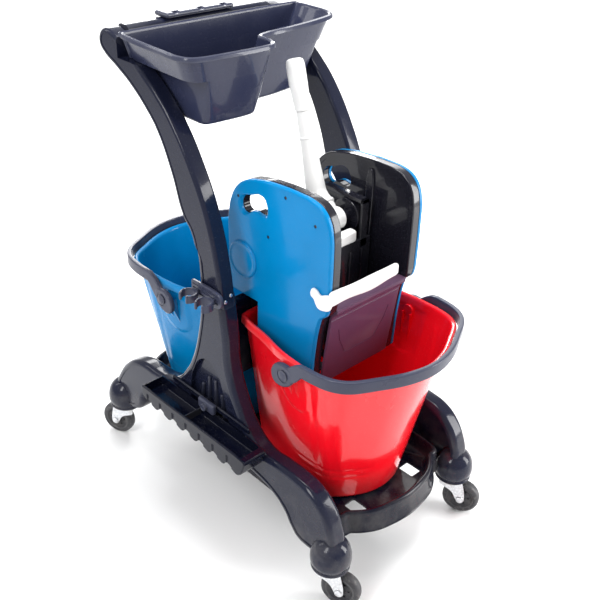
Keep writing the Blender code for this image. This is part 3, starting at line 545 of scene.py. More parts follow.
DOME_PROFILE = mm(
    (0, 150), (9, 149.4), (18, 146.5), (26, 140), (31.5, 131), (34.5, 120), (35.2, 110), (34.5, 103),
    (32.2, 98.5), (31.8, 96), (33, 94.5), (33.2, 92.5), (31.8, 90.5))
DOME_PROFILE += [(0.03, DOME_BOTTOM), (0.0, DOME_BOTTOM)]

for label, side in SIDES:
    shell = outlined("shell", LEG_OUTLINE + ABOVE_SEAM, *between(side, FRAME_IN, FRAME_OUT), resolution=5)
    bevel(shell, 0.0105, 5)
    panel = outlined("panel", LEG_OUTLINE + ABOVE_SEAM, *between(side, FRAME_OUT - 0.0014, FRAME_OUT + 0.01),
                     offset=-0.012, resolution=5)
    inside = outlined("inside", LEG_OUTLINE + ABOVE_SEAM, *between(side, FRAME_IN - 0.01, FRAME_IN + 0.018),
                      offset=-0.0125, resolution=4)
    recess = outlined("recess", RECESS_OUTLINE, *between(side, FRAME_OUT - 0.011, FRAME_OUT + 0.01))
    cut(shell, beyond_seam("seam", True), panel, inside, recess)
    parts = [shell]
    for end in (-1, 1):
        parts.append(turned("dome", DOME_PROFILE, 56, (end * CASTER_X, side * CASTER_Y, 0.0)))
    for x in (-0.033, -0.011, 0.011, 0.033):
        y = side * (FRAME_OUT - 0.0105)
        parts.append(rod("rib", (x, y, 0.227), (x * 0.75, y, 0.325 - abs(x)), 0.0042, 0.0035, 16))
    piece(joined(f"side_frame_{label}_shell", parts), "chassis", "moulded_slate", [f"side_frame_{label}"])

    arm = outlined(f"arm_{label}_shell", ARM_OUTLINE + BELOW_SEAM, *between(side, ARM_IN, FRAME_OUT),
                   resolution=6)
    bevel(arm, 0.006, 4)
    seat = block("seat", (-0.212, -0.2, SEAT_Z - AIR), (-0.1, 0.2, 0.9))
    panel = outlined("panel", ARM_OUTLINE + BELOW_SEAM, *between(side, FRAME_OUT - 0.0009, FRAME_OUT + 0.01),
                     offset=-0.008, resolution=5)
    cut(arm, beyond_seam("seam", False), seat, panel)
    piece(arm, "chassis", "moulded_slate", [f"arm_{label}"])

    # two pan-head screws clamp the arm to the leg, just above the seam on the front edge
    for i, (x, z) in enumerate(((0.0375, 0.492), (0.0385, 0.484))):
        y = side * (0.16 + 0.012 * i)
        screw = rod(f"arm_screw_{label}_{i}", (x - 0.006, y, z), (x + 0.0012, y, z + 0.0002),
                    0.0032, 0.0012, 24)
        piece(screw, "chassis", "zinc_steel")

# ==== base tray ====
TRAY_PLAN = mirrored_ring(mm(
    (-318, 0), (-314, 40), (-304, 76), (-282, 108), (-246, 137.5), (0, 137.5), (246, 137.5), (282, 108),
    (304, 76), (314, 40), (318, 0)))
plan = smooth_ring(TRAY_PLAN, 8)
TRAY_LEVELS = mm(
    (1.2, 118.2), (2.2, 119.2), (2.4, 120.6), (1, 122.2), (0.4, 130), (0.2, 148), (0.8, 152),
    (1.2, 155.5), (0.6, 158.5), (-1.4, 160.2), (-3.8, 160.6), (-6, 159.6), (-7.4, 157.2), (-13.4, 141),
    (-14.6, 137.8), (-16.6, 136.1), (-20, 135.5))
rings = []
for reach, z in TRAY_LEVELS:
    flare = 1.0 + 0.024 * max(0.0, (0.158 - z) / 0.04) if reach > -0.002 else 1.0
    rings.append([(p.x * flare, max(-0.1445, min(0.1445, p.y)), z) for p in push_out(plan, reach)])
for shrink in (0.93, 0.8, 0.6, 0.4, 0.2):
    rings.append([(p[0] * shrink, p[1] * shrink, 0.1355) for p in rings[len(TRAY_LEVELS) - 1]])
base_tray = solidify(lofted("base_tray_shell", rings, cap_start=False), 0.0033, -1.0)
for end in (-1, 1):
    for side in (-1, 1):
        cut(base_tray, soft_block("slot", (end * 0.262 - 0.016, side * 0.072 - 0.0125, 0.1),
                                  (end * 0.262 + 0.016, side * 0.072 + 0.0125, 0.15), 0.003))
piece(base_tray, "chassis", "moulded_slate_dark", ["base_tray"])

# ==== push bar and grip block ====
BAR_X, BAR_Z = -0.236, 0.856
bar_path = [Vector((BAR_X, y, BAR_Z)) for y in (-ARM_IN + AIR, -0.1, 0.0, 0.1, ARM_IN - AIR)]
push_bar = swept("push_bar_shell", bar_path, 0.015, 0.0115, 0.7, 44)
piece(push_bar, "chassis", "moulded_slate", ["push_bar"])
grip_low, grip_high = (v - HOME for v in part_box("grip_block"))
grip = soft_block("grip_block_shell", grip_low, grip_high, 0.0042, 4)
notch_z = grip_high.z + 0.007
for y in (-0.055, -0.003, 0.046):
    cut(grip, rod("notch", (BAR_X + 0.008, y, notch_z), (BAR_X + 0.06, y, notch_z), 0.01))
for x in (-0.007, 0.0, 0.007):
    cut(grip, soft_block("groove", (BAR_X + x - 0.001, -0.07, grip_high.z - 0.0008),
                         (BAR_X + x + 0.001, 0.058, grip_high.z + 0.01), 0.0003, 1))
piece(grip, "chassis", "graphite", ["grip_block"])

# ==== tool tray ====
RIM_PLAN = mm(
    (-203, -160), (-196, -176), (-165, -182), (-75, -187), (-40, -187), (-20, -172), (-13, -120),
    (-10, -60), (-14, -32), (-34, -21), (-60, -17), (-70, 10), (-73, 60), (-83, 130), (-96, 176),
    (-122, 192), (-160, 194), (-190, 192), (-203, 176), (-203, 0))
DEEP_PLAN = mm(
    (-190, -134), (-184, -143), (-150, -146.5), (-80, -146.5), (-52, -145.5), (-40, -136), (-36, -105),
    (-34, -62), (-38, -44), (-52, -36), (-76, -32), (-85, -6), (-88, 50), (-97, 100), (-107, 124),
    (-128, 133), (-155, 134), (-180, 133), (-190, 122), (-190, 0))
rim_plan = smooth_ring(RIM_PLAN, 8)
deep_plan = smooth_ring(DEEP_PLAN, 8)
rise = (SEAT_Z - TRAY_FLOOR_Z) / (TRAY_RIM_Z - TRAY_FLOOR_Z)
shoulder_plan = [d.lerp(r, rise) for d, r in zip(deep_plan, rim_plan)]
neck_plan = [Vector((p.x, max(-0.1475, min(0.1475, p.y)))) for p in shoulder_plan]
middle_plan = [d.lerp(n, 0.5) for d, n in zip(deep_plan, neck_plan)]
upper_plan = [s.lerp(r, 0.5) for s, r in zip(shoulder_plan, rim_plan)]
levels = [
    (deep_plan, -0.0085, TRAY_FLOOR_Z), (deep_plan, -0.0045, TRAY_FLOOR_Z + 0.0008),
    (deep_plan, -0.0018, TRAY_FLOOR_Z + 0.0028), (deep_plan, 0.0, TRAY_FLOOR_Z + 0.007),
    (middle_plan, 0.0, (TRAY_FLOOR_Z + SEAT_Z) / 2), (neck_plan, 0.0, SEAT_Z - 0.001),
    (neck_plan, 0.0002, SEAT_Z), (shoulder_plan, 0.0003, SEAT_Z + 0.0008),
    (upper_plan, 0.0, (SEAT_Z + TRAY_RIM_Z) / 2), (rim_plan, -0.0003, TRAY_RIM_Z - 0.003),
    (rim_plan, 0.0002, TRAY_RIM_Z - 0.0008), (rim_plan, 0.0012, TRAY_RIM_Z),
    (rim_plan, 0.0024, TRAY_RIM_Z - 0.0004), (rim_plan, 0.0031, TRAY_RIM_Z - 0.0018),
    (rim_plan, 0.0032, TRAY_RIM_Z - 0.0045)]
rings = [[(p.x, p.y, z) for p in push_out(plan_at, reach)] for plan_at, reach, z in levels]
tool_tray = solidify(lofted("tool_tray_shell", rings, cap_end=False), TRAY_WALL)
piece(tool_tray, "tool_tray", "tray_blue_grey", ["tool_tray"])

# ==== buckets and bails ====
RIM_HALF = mm(
    (18, 0), (19, 102), (36, 120), (90, 130), (150, 143.5), (225, 146), (268, 132), (294, 90),
    (314, 46), (322, 0))
BASE_HALF = mm(
    (36, 0), (37, 76), (52, 92), (95, 100), (145, 104), (199, 102), (222, 92), (240, 70), (258, 36),
    (264, 0))


def smoothstep(value, low, high):
    t = max(0.0, min(1.0, (value - low) / (high - low)))
    return t * t * (3 - 2 * t)


def bump_between(value, low, high, soft):
    return smoothstep(value, low - soft, low) * (1.0 - smoothstep(value, high, high + soft))


def bucket_relief(x, y, z, pivot_x):
    """How far the wall stands out: shield under the boss, rings near the base, flutes at the far end."""
    flank = smoothstep(abs(y), 0.08, 0.095)
    reach = math.hypot((x - pivot_x) / 0.034, max(0.0, 0.352 - z) / 0.03)
    shield = 0.0018 * flank * (1.0 - smoothstep(reach, 0.9, 1.02)) * bump_between(z, 0.318, 0.412, 0.004)
    corner = bump_between(x, 0.165, 0.262, 0.01) * smoothstep(abs(y), 0.03, 0.05)
    rings_low = sum(bump_between(z, level - 0.0008, level + 0.0008, 0.0016) for level in (0.196, 0.213))
    flutes = sum(bump_between(x, at - 0.003, at + 0.003, 0.005) for at in (0.206, 0.234))
    flutes *= flank * bump_between(z, 0.2, 0.395, 0.012)
    return shield - 0.0009 * corner * rings_low - 0.001 * flutes


def bucket_mesh(name, end):
    rim = smooth_ring(mirrored_ring(RIM_HALF), 12)
    base = smooth_ring(mirrored_ring(BASE_HALF), 12)
    top = RIM_Z - BUCKET_WALL
    rings = [[(end * p.x, p.y, z) for p in push_out(base, reach)] for reach, z in (
        (-0.01, BUCKET_BASE), (-0.005, BUCKET_BASE + 0.0006), (-0.002, BUCKET_BASE + 0.0026))]
    low = BUCKET_BASE + 0.007
    steps = 84
    half_z = 0.288
    for k in range(steps + 1):
        z = low + (top - 0.004 - low) * k / steps
        if z < half_z:
            t = 0.5 * max(0.0, (z - 0.1485) / (half_z - 0.1485))
        else:
            t = 0.5 + 0.5 * (z - half_z) / (top - 0.004 - half_z)
        plan_at = [b.lerp(r, t) for b, r in zip(base, rim)]
        proud = push_out(plan_at, 0.001)
        ring = []
        for p, q in zip(plan_at, proud):
            p = p + (q - p) * 1000.0 * bucket_relief(p.x, p.y, z, BAIL_PIVOT[end][0])
            ring.append((end * p.x, p.y, z))
        rings.append(ring)
    for reach, z in ((0.0006, top - 0.0016), (0.0016, top - 0.0004), (0.003, top), (0.0044, top - 0.0008),
                     (0.0052, top - 0.003), (0.0055, top - 0.01)):
        rings.append([(end * p.x, p.y, z) for p in push_out(rim, reach)])
    return solidify(lofted(name, rings, cap_end=False), BUCKET_WALL)


LOBE_OUTLINE = mm(
    (18.8, 4), (16.5, 16), (2, 19.6), (-15, 17), (-26.2, 6), (-28.8, -8), (-22.5, -20), (-9, -23.6),
    (6, -19), (16, -10))


def bail_mesh(name, end):
    """Flat bail: lobed ends on the pivots, then a rounded band hugging the rim."""
    rim = smooth_ring(mirrored_ring(RIM_HALF), 10)
    pivot_x, pivot_z = BAIL_PIVOT[end]
    centre_line = [p for p in push_out(rim, 0.0145) if p.x > pivot_x + 0.002]
    disc_mid = 0.16075
    path, sizes = [], []
    for p in centre_line:
        run = p.x - pivot_x
        climb = smoothstep(run, 0.006, 0.04) if abs(p.y) > 0.1 else 1.0
        z = pivot_z + 0.004 + (0.42925 - pivot_z) * climb
        y = p.y if abs(p.y) < 0.12 else math.copysign(
            disc_mid + (abs(p.y) - disc_mid) * smoothstep(run, 0.0, 0.03), p.y)
        path.append(Vector((end * p.x, y, z)))
        sizes.append((1.0, 1.0 + 0.35 * (1.0 - climb)))
    band = swept("band", path, 0.0044, 0.0106, 0.3, 24, sizes=sizes)
    parts = [band]
    for side in (-1, 1):
        lobe = outlined("lobe", [(end * (pivot_x + x), pivot_z + z) for x, z in LOBE_OUTLINE],
                        *between(side, 0.1561, 0.1654))
        bevel(lobe, 0.0032, 4, 50.0)
        ring_cut = turned("ring_cut", mm((8.8, 0), (13.2, 0), (12.6, 1.4), (9.4, 1.4)), 48,
                          (end * pivot_x, side * 0.1646, pivot_z), (0, side, 0))
        cut(lobe, ring_cut)
        parts.append(lobe)
    return joined(name, parts)


for colour, end in (("red", 1), ("blue", -1)):
    bucket = bucket_mesh(f"bucket_{colour}_shell", end)
    pivot_x, pivot_z = BAIL_PIVOT[end]
    extras = []
    for side in (-1, 1):
        extras.append(rod("boss", (end * pivot_x, side * 0.1375, pivot_z),
                          (end * pivot_x, side * 0.1554, pivot_z), 0.0105, 0.001, 36))
        for x in (-0.0085, 0.0085):
            fin = outlined("fin", mm((133, 402, 1), (150, 402, 1), (148.5, 385), (133, 345, 1)),
                           end * pivot_x + x - 0.0011, end * pivot_x + x + 0.0011)
            fin.data.transform(Matrix.Rotation(-math.pi / 2, 4, "Z"))
            if side > 0:
                fin.data.transform(Matrix.Scale(-1.0, 4, (0, 1, 0)))
            extras.append(fin)
    shell = joined(f"bucket_{colour}_whole", [bucket] + extras)
    piece(shell, f"{colour}_bucket", f"{colour}_plastic", [f"bucket_{colour}"])
    piece(bail_mesh(f"bail_{colour}_shell", end), f"{colour}_bail", "graphite", [f"bail_{colour}"])
    for label, side in SIDES:
        head = turned("head", mm((0, 0), (9.5, 0), (9.4, 1.2), (8, 2.4), (4, 3), (0, 3.1)), 32,
                      (end * pivot_x, side * 0.1659, pivot_z), (0, side, 0))
        stem = rod("stem", (end * pivot_x, side * 0.1502, pivot_z),
                   (end * pivot_x, side * 0.1662, pivot_z), 0.0049)
        piece(joined(f"bail_pin_{colour}_{label}_turned", [stem, head]), f"{colour}_bucket", "graphite",
              [f"bail_pin_{colour}_{label}"])

# ==== wringer ====
CHEEK_OUTLINE = mm(
    (-33, 459.5, 1), (-34, 560), (-33, 600), (-26, 630), (-12, 653), (8, 668), (40, 678), (86, 684),
    (130, 685.5), (158, 684), (178, 677), (192, 662), (199, 640), (201.5, 600), (201.5, 520, 1),
    (197, 503), (186, 493), (181.5, 480), (174, 430), (170, 350, 1), (62, 336, 1), (40, 350, 1),
    (40, 459.5, 1))
HANDLE_HOLE = mm(
    (-2, 618), (2, 638), (20, 646), (50, 653), (58, 645), (58, 622), (50, 621), (30, 622), (8, 611))
COVER_X, COVER_Z = 0.005, 0.527
SCREW_SPOTS = mm((167.4, 646.6), (65, 590.3), (-6.9, 636.5), (102.4, 670))

for label, side in SIDES:
    cheek = outlined(f"wringer_cheek_{label}_shell", CHEEK_OUTLINE,
                     *between(side, SHELL_MID - 0.012, SHELL_OUT))
    cut(cheek, outlined("grip_hole", HANDLE_HOLE, -0.13, 0.13))
    bevel(cheek, 0.0046, 6, 50.0)
    cut(cheek, block("inner_side", (-0.2, -SHELL_MID, 0.2), (0.4, SHELL_MID, 0.8)))
    face = side * (SHELL_OUT - 0.0012)
    for x, z in SCREW_SPOTS:
        cut(cheek, rod("screw_seat", (x, face, z), (x, side * (SHELL_OUT + 0.01), z), 0.003))
    piece(cheek, "wringer", "blue_plastic", [f"wringer_cheek_{label}"])
    for i, (x, z) in enumerate(SCREW_SPOTS):
        screw = turned(f"cheek_screw_{label}_{i}", mm((0, 0), (2.6, 0), (2.5, 0.7), (1.6, 1.1), (1.2, 0.4),
                                                      (0, 0.4)), 24, (x, face, z), (0, side, 0))
        piece(screw, "wringer", "liner_dark")

    liner = outlined(f"wringer_liner_{label}_shell", CHEEK_OUTLINE, *between(side, SHELL_IN, SHELL_MID - AIR))
    cut(liner, outlined("grip_hole", HANDLE_HOLE, -0.13, 0.13, offset=0.0004))
    bevel(liner, 0.0022, 3, 50.0)
    dish = outlined("dish", CHEEK_OUTLINE, *between(side, SHELL_IN - 0.01, SHELL_IN + 0.0014), offset=-0.009)
    eye = rod("eye", (SHAFT_X, side * 0.07, SHAFT_Z), (SHAFT_X, side * 0.0945, SHAFT_Z), SHAFT_R + AIR)
    cut(liner, dish, eye)
    rib_outline = mm((101, 490, 1), (112, 490, 1), (112, 664), (106.5, 670), (101, 664))
    rib = bevel(outlined("rib", rib_outline, *between(side, 0.0797, 0.085)), 0.0018)
    bore_r = SHAFT_R + AIR
    hub_ring = turned("hub_ring", [(bore_r, 0.0), (0.015, 0.0), (0.0142, 0.0016), (bore_r, 0.0016)], 40,
                      (SHAFT_X, side * (SHELL_IN + 0.0016), SHAFT_Z), (0, -side, 0))
    piece(joined(f"wringer_liner_{label}_moulding", [liner, rib, hub_ring]), "wringer", "liner_dark",
          [f"wringer_liner_{label}"])

    cover = turned(f"pivot_cover_{label}_dome", mm(
        (0, 0), (33, 0), (33.1, 1), (32.2, 2.8), (30.6, 3.7), (29.2, 3.4), (27.8, 2.2), (24, 2.4),
        (16, 3.1), (8, 3.4), (0, 3.5)), 72,
        (COVER_X, side * (SHELL_OUT + AIR), COVER_Z), (0, side, 0))
    piece(cover, "wringer", "blue_plastic", [f"pivot_cover_{label}"], angle=60.0)

reach = SHELL_IN - AIR
panel_profile = mm(
    (184, 507, 1), (200.5, 507, 1), (200.5, 499.5, 1), (189.5, 488, 1), (172, 350, 1), (167.5, 350, 1),
    (184, 489, 1))
front_panel = outlined("wringer_front_panel_shell", panel_profile, -reach, reach)
bevel(front_panel, 0.0014, 3)
face_low, face_high = Vector((0.172, 0.0, 0.35)), Vector((0.1895, 0.0, 0.488))


def on_face(y, z):
    """Point on the sloping front of the panel."""
    t = (z - face_low.z) / (face_high.z - face_low.z)
    return Vector((face_low.x + (face_high.x - face_low.x) * t, y, z))


groove_half = mm((60, 456), (53.5, 432.3), (36, 401), (30.6, 398.5))
trace = [on_face(-y, z) for y, z in groove_half] + [on_face(y, z) for y, z in reversed(groove_half)]
cut(front_panel, swept("groove", trace, 0.0008, 0.0008, 1.0, 8, up=Vector((1, 0, 0))))
crease = [on_face(y, 0.4815) for y in (-0.1, 0.0, 0.1)]
cut(front_panel, swept("crease", crease, 0.0008, 0.0008, 1.0, 8))
cut(front_panel, soft_block("lip_step", (0.1995, -0.2, 0.505), (0.21, 0.2, 0.51), 0.0004, 1))
piece(front_panel, "wringer", "plum_plastic", ["wringer_front_panel"])

back_profile = mm(
    (-30, 460, 1), (36.5, 460, 1), (36.5, 350, 1), (41, 350, 1), (41, 578, 1), (36.5, 578, 1),
    (36.5, 465, 1), (-30, 465, 1))
piece(bevel(outlined("wringer_back_panel_shell", back_profile, -reach, reach), 0.001, 2),
      "wringer", "liner_dark", ["wringer_back_panel"])

sieve = block("wringer_sieve_plate", (0.0415, -reach, 0.351), (0.167, reach, 0.3545))
for i in range(5):
    y = -0.06 + 0.03 * i
    cut(sieve, soft_block("sieve_slot", (0.055, y - 0.007, 0.34), (0.155, y + 0.007, 0.36), 0.003))
piece(sieve, "wringer", "liner_dark", ["wringer_sieve"])

# press plate with its two push bars, and the white guide block on top
plate_low_x, plate_high_x = 0.1145, 0.1195
bar_low_z, bar_high_z = SHAFT_Z + DRUM_R + AIR, 0.626
parts = [soft_block("plate", (plate_low_x, -0.078, 0.36), (plate_high_x, 0.078, 0.556), 0.0016)]
for y in (-0.06, 0.06):
    far_top = (plate_high_x, y + 0.008, bar_high_z)
    parts.append(soft_block("upright", (plate_low_x, y - 0.008, 0.54), far_top, 0.0012, 2))
    parts.append(soft_block("bar", (0.03, y - 0.008, bar_low_z), far_top, 0.0012, 2))
for i in range(5):
    y = -0.056 + 0.028 * i
    parts.append(soft_block("rib", (plate_high_x - 0.001, y - 0.002, 0.372),
                            (plate_high_x + 0.003, y + 0.002, 0.54), 0.0012, 2))
piece(joined("press_plate_moulding", parts), "press", "liner_dark", ["press_plate"])
guide = soft_block("press_guide_block_moulding", (0.106, -0.004, 0.556 + AIR), (0.1235, 0.04, 0.578),
                   0.0052, 5)
cut(guide, rod("guide_groove", (0.115, 0.018, 0.5795), (0.13, 0.018, 0.5795), 0.004))
piece(guide, "press", "white_plastic", ["press_guide_block"])

shaft_steps = both_ends([
    (0.0, 0.094), (0.0082, 0.094), (SHAFT_R, 0.0932), (SHAFT_R, 0.07), (DRUM_R - 0.0008, 0.07),
    (DRUM_R, 0.0692), (DRUM_R, 0.0508), (DRUM_R - 0.0008, 0.05), (SHAFT_R, 0.05)])
shaft = turned("press_shaft_turned", shaft_steps, 56, (SHAFT_X, 0, SHAFT_Z), (0, 1, 0))
piece(shaft, "press_lever", "liner_dark", ["press_shaft"])

# lever: bored hub, bent neck with a raised ring, tube with a collar, and a waisted hand grip
pivot = Vector((SHAFT_X, LEVER_Y, SHAFT_Z))
bore_r = SHAFT_R + AIR
hub = turned("hub", both_ends([(bore_r, 0.014), (0.016, 0.014), (0.018, 0.0134), (0.019, 0.0116)]), 56, pivot,
             (0, 1, 0))
neck_path = mm(
    (0, 0), (-10, 12), (-19, 20.5), (-29, 25.5), (-37.5, 31.5), (-42.8, 40))
neck_sizes = [0.013, 0.0138, 0.0146, 0.0156, 0.0164, 0.0166]
path = [pivot + Vector((x, 0.0, z)) for x, z in neck_path]
path += [pivot + LEVER_ROOT + LEVER_UP * d for d in (0.022, 0.034, 0.05, 0.068, 0.088, 0.112, LEVER_SPLIT)]
neck_sizes += [0.0163, 0.0156, 0.0145, 0.0134, 0.0125, 0.0119, 0.0113]
root = swept("root", path, 1.0, 1.0, 1.0, 40, up=Vector((0, 1, 0)), sizes=[(r, r) for r in neck_sizes])
ring = turned("ring", mm((10, -3), (15.2, -3), (16.4, -1.8), (16.6, 0), (16.4, 1.8), (15.2, 3), (10, 3)),
              48, path[2], (-0.045, 0.0, 0.03))
collar = turned("collar", mm((9, -2.6), (12.4, -2.6), (13.2, -1.4), (13.4, 0), (13.2, 1.4), (12.4, 2.6),
                             (9, 2.6)), 48, pivot + LEVER_ROOT + LEVER_UP * 0.096, LEVER_UP)
bore_clear = rod("bore_clear", pivot - Vector((0, 0.03, 0)), pivot + Vector((0, 0.03, 0)), bore_r)
cut(root, bore_clear)
piece(joined("lever_moulding", [hub, root, ring, collar]), "press_lever", "white_plastic", ["lever"])
low_end = LEVER_SPLIT + AIR
grip_profile = mm(
    (0, 0), (10.6, 0), (12.6, 1.6), (13.1, 5), (12.7, 8), (13.1, 11), (13.8, 20), (14.6, 32), (15, 43),
    (15.2, 59), (15.2, 70), (14.6, 76.5), (12.8, 80.8), (9, 82.6))
grip_profile.append((0.0, LEVER_LENGTH - low_end))
grip_foot = pivot + LEVER_ROOT + LEVER_UP * low_end
hand_grip = turned("lever_grip_moulding", grip_profile, 72, grip_foot, LEVER_UP)
turn = LEVER_UP.to_track_quat("Z", "Y")
for i in range(10):
    out = turn @ Vector((math.cos(math.tau * i / 10), math.sin(math.tau * i / 10), 0.0)) * 0.0172
    cut(hand_grip, rod("flute", grip_foot + LEVER_UP * 0.024 + out, grip_foot + LEVER_UP * 0.07 + out,
                       0.0028, 0.0024, 16))
piece(hand_grip, "press_lever", "white_plastic", ["lever_grip"])

# guard bar: soft wavy bar in front of the mouth, with a two-lobed hook on the near cheek
front = 0.2015 + AIR
rings = []
bar_low_y, bar_high_y = -0.1105, 0.05
for k in range(45):
    t = k / 44
    y = bar_low_y + (bar_high_y - bar_low_y) * t
    end_round = min(1.0, math.sqrt(max(0.0, 1.0 - (abs(2 * t - 1) ** 24))) + 0.02)
    middle_z = 0.5375 + 0.0014 * math.sin(math.tau * (t * 1.15 + 0.1))
    half_z = (0.0118 + 0.0012 * math.sin(math.tau * (t * 1.6 + 0.3))) * end_round
    half_x = 0.0044 * end_round
    rings.append([(front + 0.0045 + math.copysign(abs(math.cos(a)) ** 0.5, math.cos(a)) * half_x, y,
                   middle_z + math.copysign(abs(math.sin(a)) ** 0.7, math.sin(a)) * half_z)
                  for a in (math.tau * n / 28 for n in range(28))])
hook_outline = mm(
    (169, 542), (169, 533), (176, 528.5), (180, 522), (186, 516.5), (200, 517.5), (209.5, 523), (210, 540),
    (206, 545.5), (197, 544), (188, 540), (180, 545), (172, 546))
hook = outlined("hook", hook_outline, -0.1123, -SHELL_OUT - AIR)
bevel(hook, 0.0022, 4, 50.0)
guard_bar = joined("guard_bar_moulding", [lofted("bar", rings), hook])
piece(guard_bar, "wringer", "white_plastic", ["guard_bar"], angle=60.0)

# ==== clip rail, handle clips and side rack ====
RAIL_OUT = FRAME_OUT + 0.007
rail_outline = mm((-30, 476, 1), (34, 476), (43, 480), (46, 490), (43, 500), (34, 504), (-30, 504, 1))
rail = bevel(outlined("clip_rail_moulding", rail_outline, -RAIL_OUT, -FRAME_OUT - AIR), 0.0018, 3, 50.0)
for i in range(3):
    z = CLIP_Z - 0.004 + i * 0.007
    cut(rail, soft_block("rail_groove", (-0.026, -RAIL_OUT - 0.01, z),
                         (0.0385, -RAIL_OUT + 0.0016, z + 0.0028), 0.001, 2))
piece(rail, "chassis", "graphite", ["clip_rail"])

CLIP_OUT, CLIP_BORE, CLIP_HALF_GAP = 0.015, 0.0118, math.radians(40.0)
CLIP_MID = (CLIP_OUT + CLIP_BORE) / 2
clip_start, clip_sweep = -math.pi / 2 + CLIP_HALF_GAP, math.tau - 2 * CLIP_HALF_GAP
spread = [clip_start + clip_sweep * i / 40 for i in range(41)]
for label, x in (("rear", -0.012), ("front", 0.028)):
    flat = [(CLIP_OUT * math.cos(a), CLIP_OUT * math.sin(a), 1) for a in spread]
    flat += [(CLIP_BORE * math.cos(a), CLIP_BORE * math.sin(a), 1) for a in reversed(spread)]
    ring = bevel(outlined("ring", flat, -0.007, 0.007, "XY"), 0.001, 2, 50.0)
    lips = []
    for a in (spread[0], spread[-1]):
        lip_x, lip_y = CLIP_MID * math.cos(a), CLIP_MID * math.sin(a)
        lips.append(rod("lip", (lip_x, lip_y, -0.0068), (lip_x, lip_y, 0.0068), 0.0024, 0.001, 20))
    stalk = soft_block("stalk", (-0.004, 0.013, -0.005), (0.004, 0.019, 0.005), 0.001, 2)
    clip = joined(f"handle_clip_{label}_moulding", [ring, stalk] + lips)
    clip.data.transform(Matrix.Translation((x, -RAIL_OUT - AIR - 0.019, CLIP_Z)))
    piece(clip, "chassis", "graphite", [f"handle_clip_{label}"])

RACK_LOW_X, RACK_HIGH_X, RACK_OUT, RACK_LOW_Z, RACK_HIGH_Z, TEETH = -0.136, 0.15, 0.23, 0.214, 0.252, 7
pitch = (RACK_HIGH_X - RACK_LOW_X - 0.024) / TEETH
tooth_starts = [RACK_HIGH_X - 0.016 - i * pitch for i in range(TEETH)]
edge = [(RACK_LOW_X, RACK_HIGH_Z, 1), (RACK_HIGH_X - 0.003, RACK_HIGH_Z), (RACK_HIGH_X, RACK_HIGH_Z - 0.004),
        (RACK_HIGH_X - 0.001, RACK_HIGH_Z - 0.01)]
for i, tooth_x in enumerate(tooth_starts):
    low_z = RACK_LOW_Z + 0.0008 * i
    edge += [(tooth_x, low_z + 0.001), (tooth_x - pitch * 0.3, low_z + 0.002),
             (tooth_x - pitch * 0.7, low_z + 0.009), (tooth_x - pitch * 0.86, low_z + 0.0085)]
edge.append((RACK_LOW_X, RACK_LOW_Z + 0.022, 1))
rack = outlined("side_rack_moulding", edge, -RACK_OUT, -FRAME_OUT - AIR, resolution=5)
bevel(rack, 0.0024, 3, 40.0)
cut(rack, soft_block("hollow", (RACK_LOW_X + 0.004, -RACK_OUT + 0.004, RACK_LOW_Z + 0.019),
                     (RACK_HIGH_X - 0.012, -FRAME_OUT - 0.004, 0.3), 0.0035))
for tooth_x in tooth_starts:
    cut(rack, soft_block("pocket", (tooth_x - pitch * 0.8, -RACK_OUT - 0.01, RACK_LOW_Z - 0.01),
                         (tooth_x - pitch * 0.42, -RACK_OUT + 0.0022, RACK_HIGH_Z - 0.01), 0.002))
fence = soft_block("fence", (-0.02, -RACK_OUT + 0.003, RACK_LOW_Z + 0.018),
                   (-0.017, -FRAME_OUT - 0.003, 0.246), 0.0008, 2)
piece(joined("side_rack_whole", [rack, fence]), "chassis", "moulded_slate_dark", ["side_rack"])

rail_bar = soft_block("rack_rail_moulding", (-0.098, -0.187, 0.264), (0.112, -FRAME_OUT - AIR, 0.275),
                      0.0026, 4)
for x in (-0.08, -0.05, 0.062, 0.092):
    cut(rail_bar, rod("rail_hole", (x, -0.19, 0.2695), (x, -0.1855, 0.2695), 0.0028))
piece(rail_bar, "chassis", "moulded_slate_dark", ["rack_rail"])
latch = soft_block("latch", (-0.012, -0.197, 0.26), (0.03, -0.187 - AIR, 0.28), 0.0036, 4)
knob = turned("knob", mm((0, 0), (6.5, 0), (6.6, 6), (5.8, 6.6), (4, 6), (0, 5.8)), 32,
              (0.009, -0.1964, 0.27), (0, -1, 0))
piece(joined("rack_latch_moulding", [latch, knob]), "chassis", "graphite", ["rack_latch"])

# ==== casters ====
AXLE_R, CHEEK_HALF = 0.004, 0.015
BORE_R, RIM_HALF_W, TYRE_HALF_W = AXLE_R + 0.0001, TYRE_W / 2 - 0.001, TYRE_W / 2
AXLE_AT = (TRAIL, 0, AXLE_Z)
ACROSS = (0, 1, 0)
CORNERS = (("front_near", 1, -1, 24.0), ("front_far", 1, 1, 26.0), ("rear_near", -1, -1, 203.0),
           ("rear_far", -1, 1, 196.0))


def swivel_race():
    profile = [(0.0, DOME_BOTTOM - AIR), (0.0258, DOME_BOTTOM - AIR)]
    profile += mm((26.2, 88.8), (25.2, 87.4), (23.2, 86.8), (22.6, 85.6))
    profile += [(0.0224, FORK_TOP + AIR), (0.0, FORK_TOP + AIR)]
    return turned("race", profile, 44)


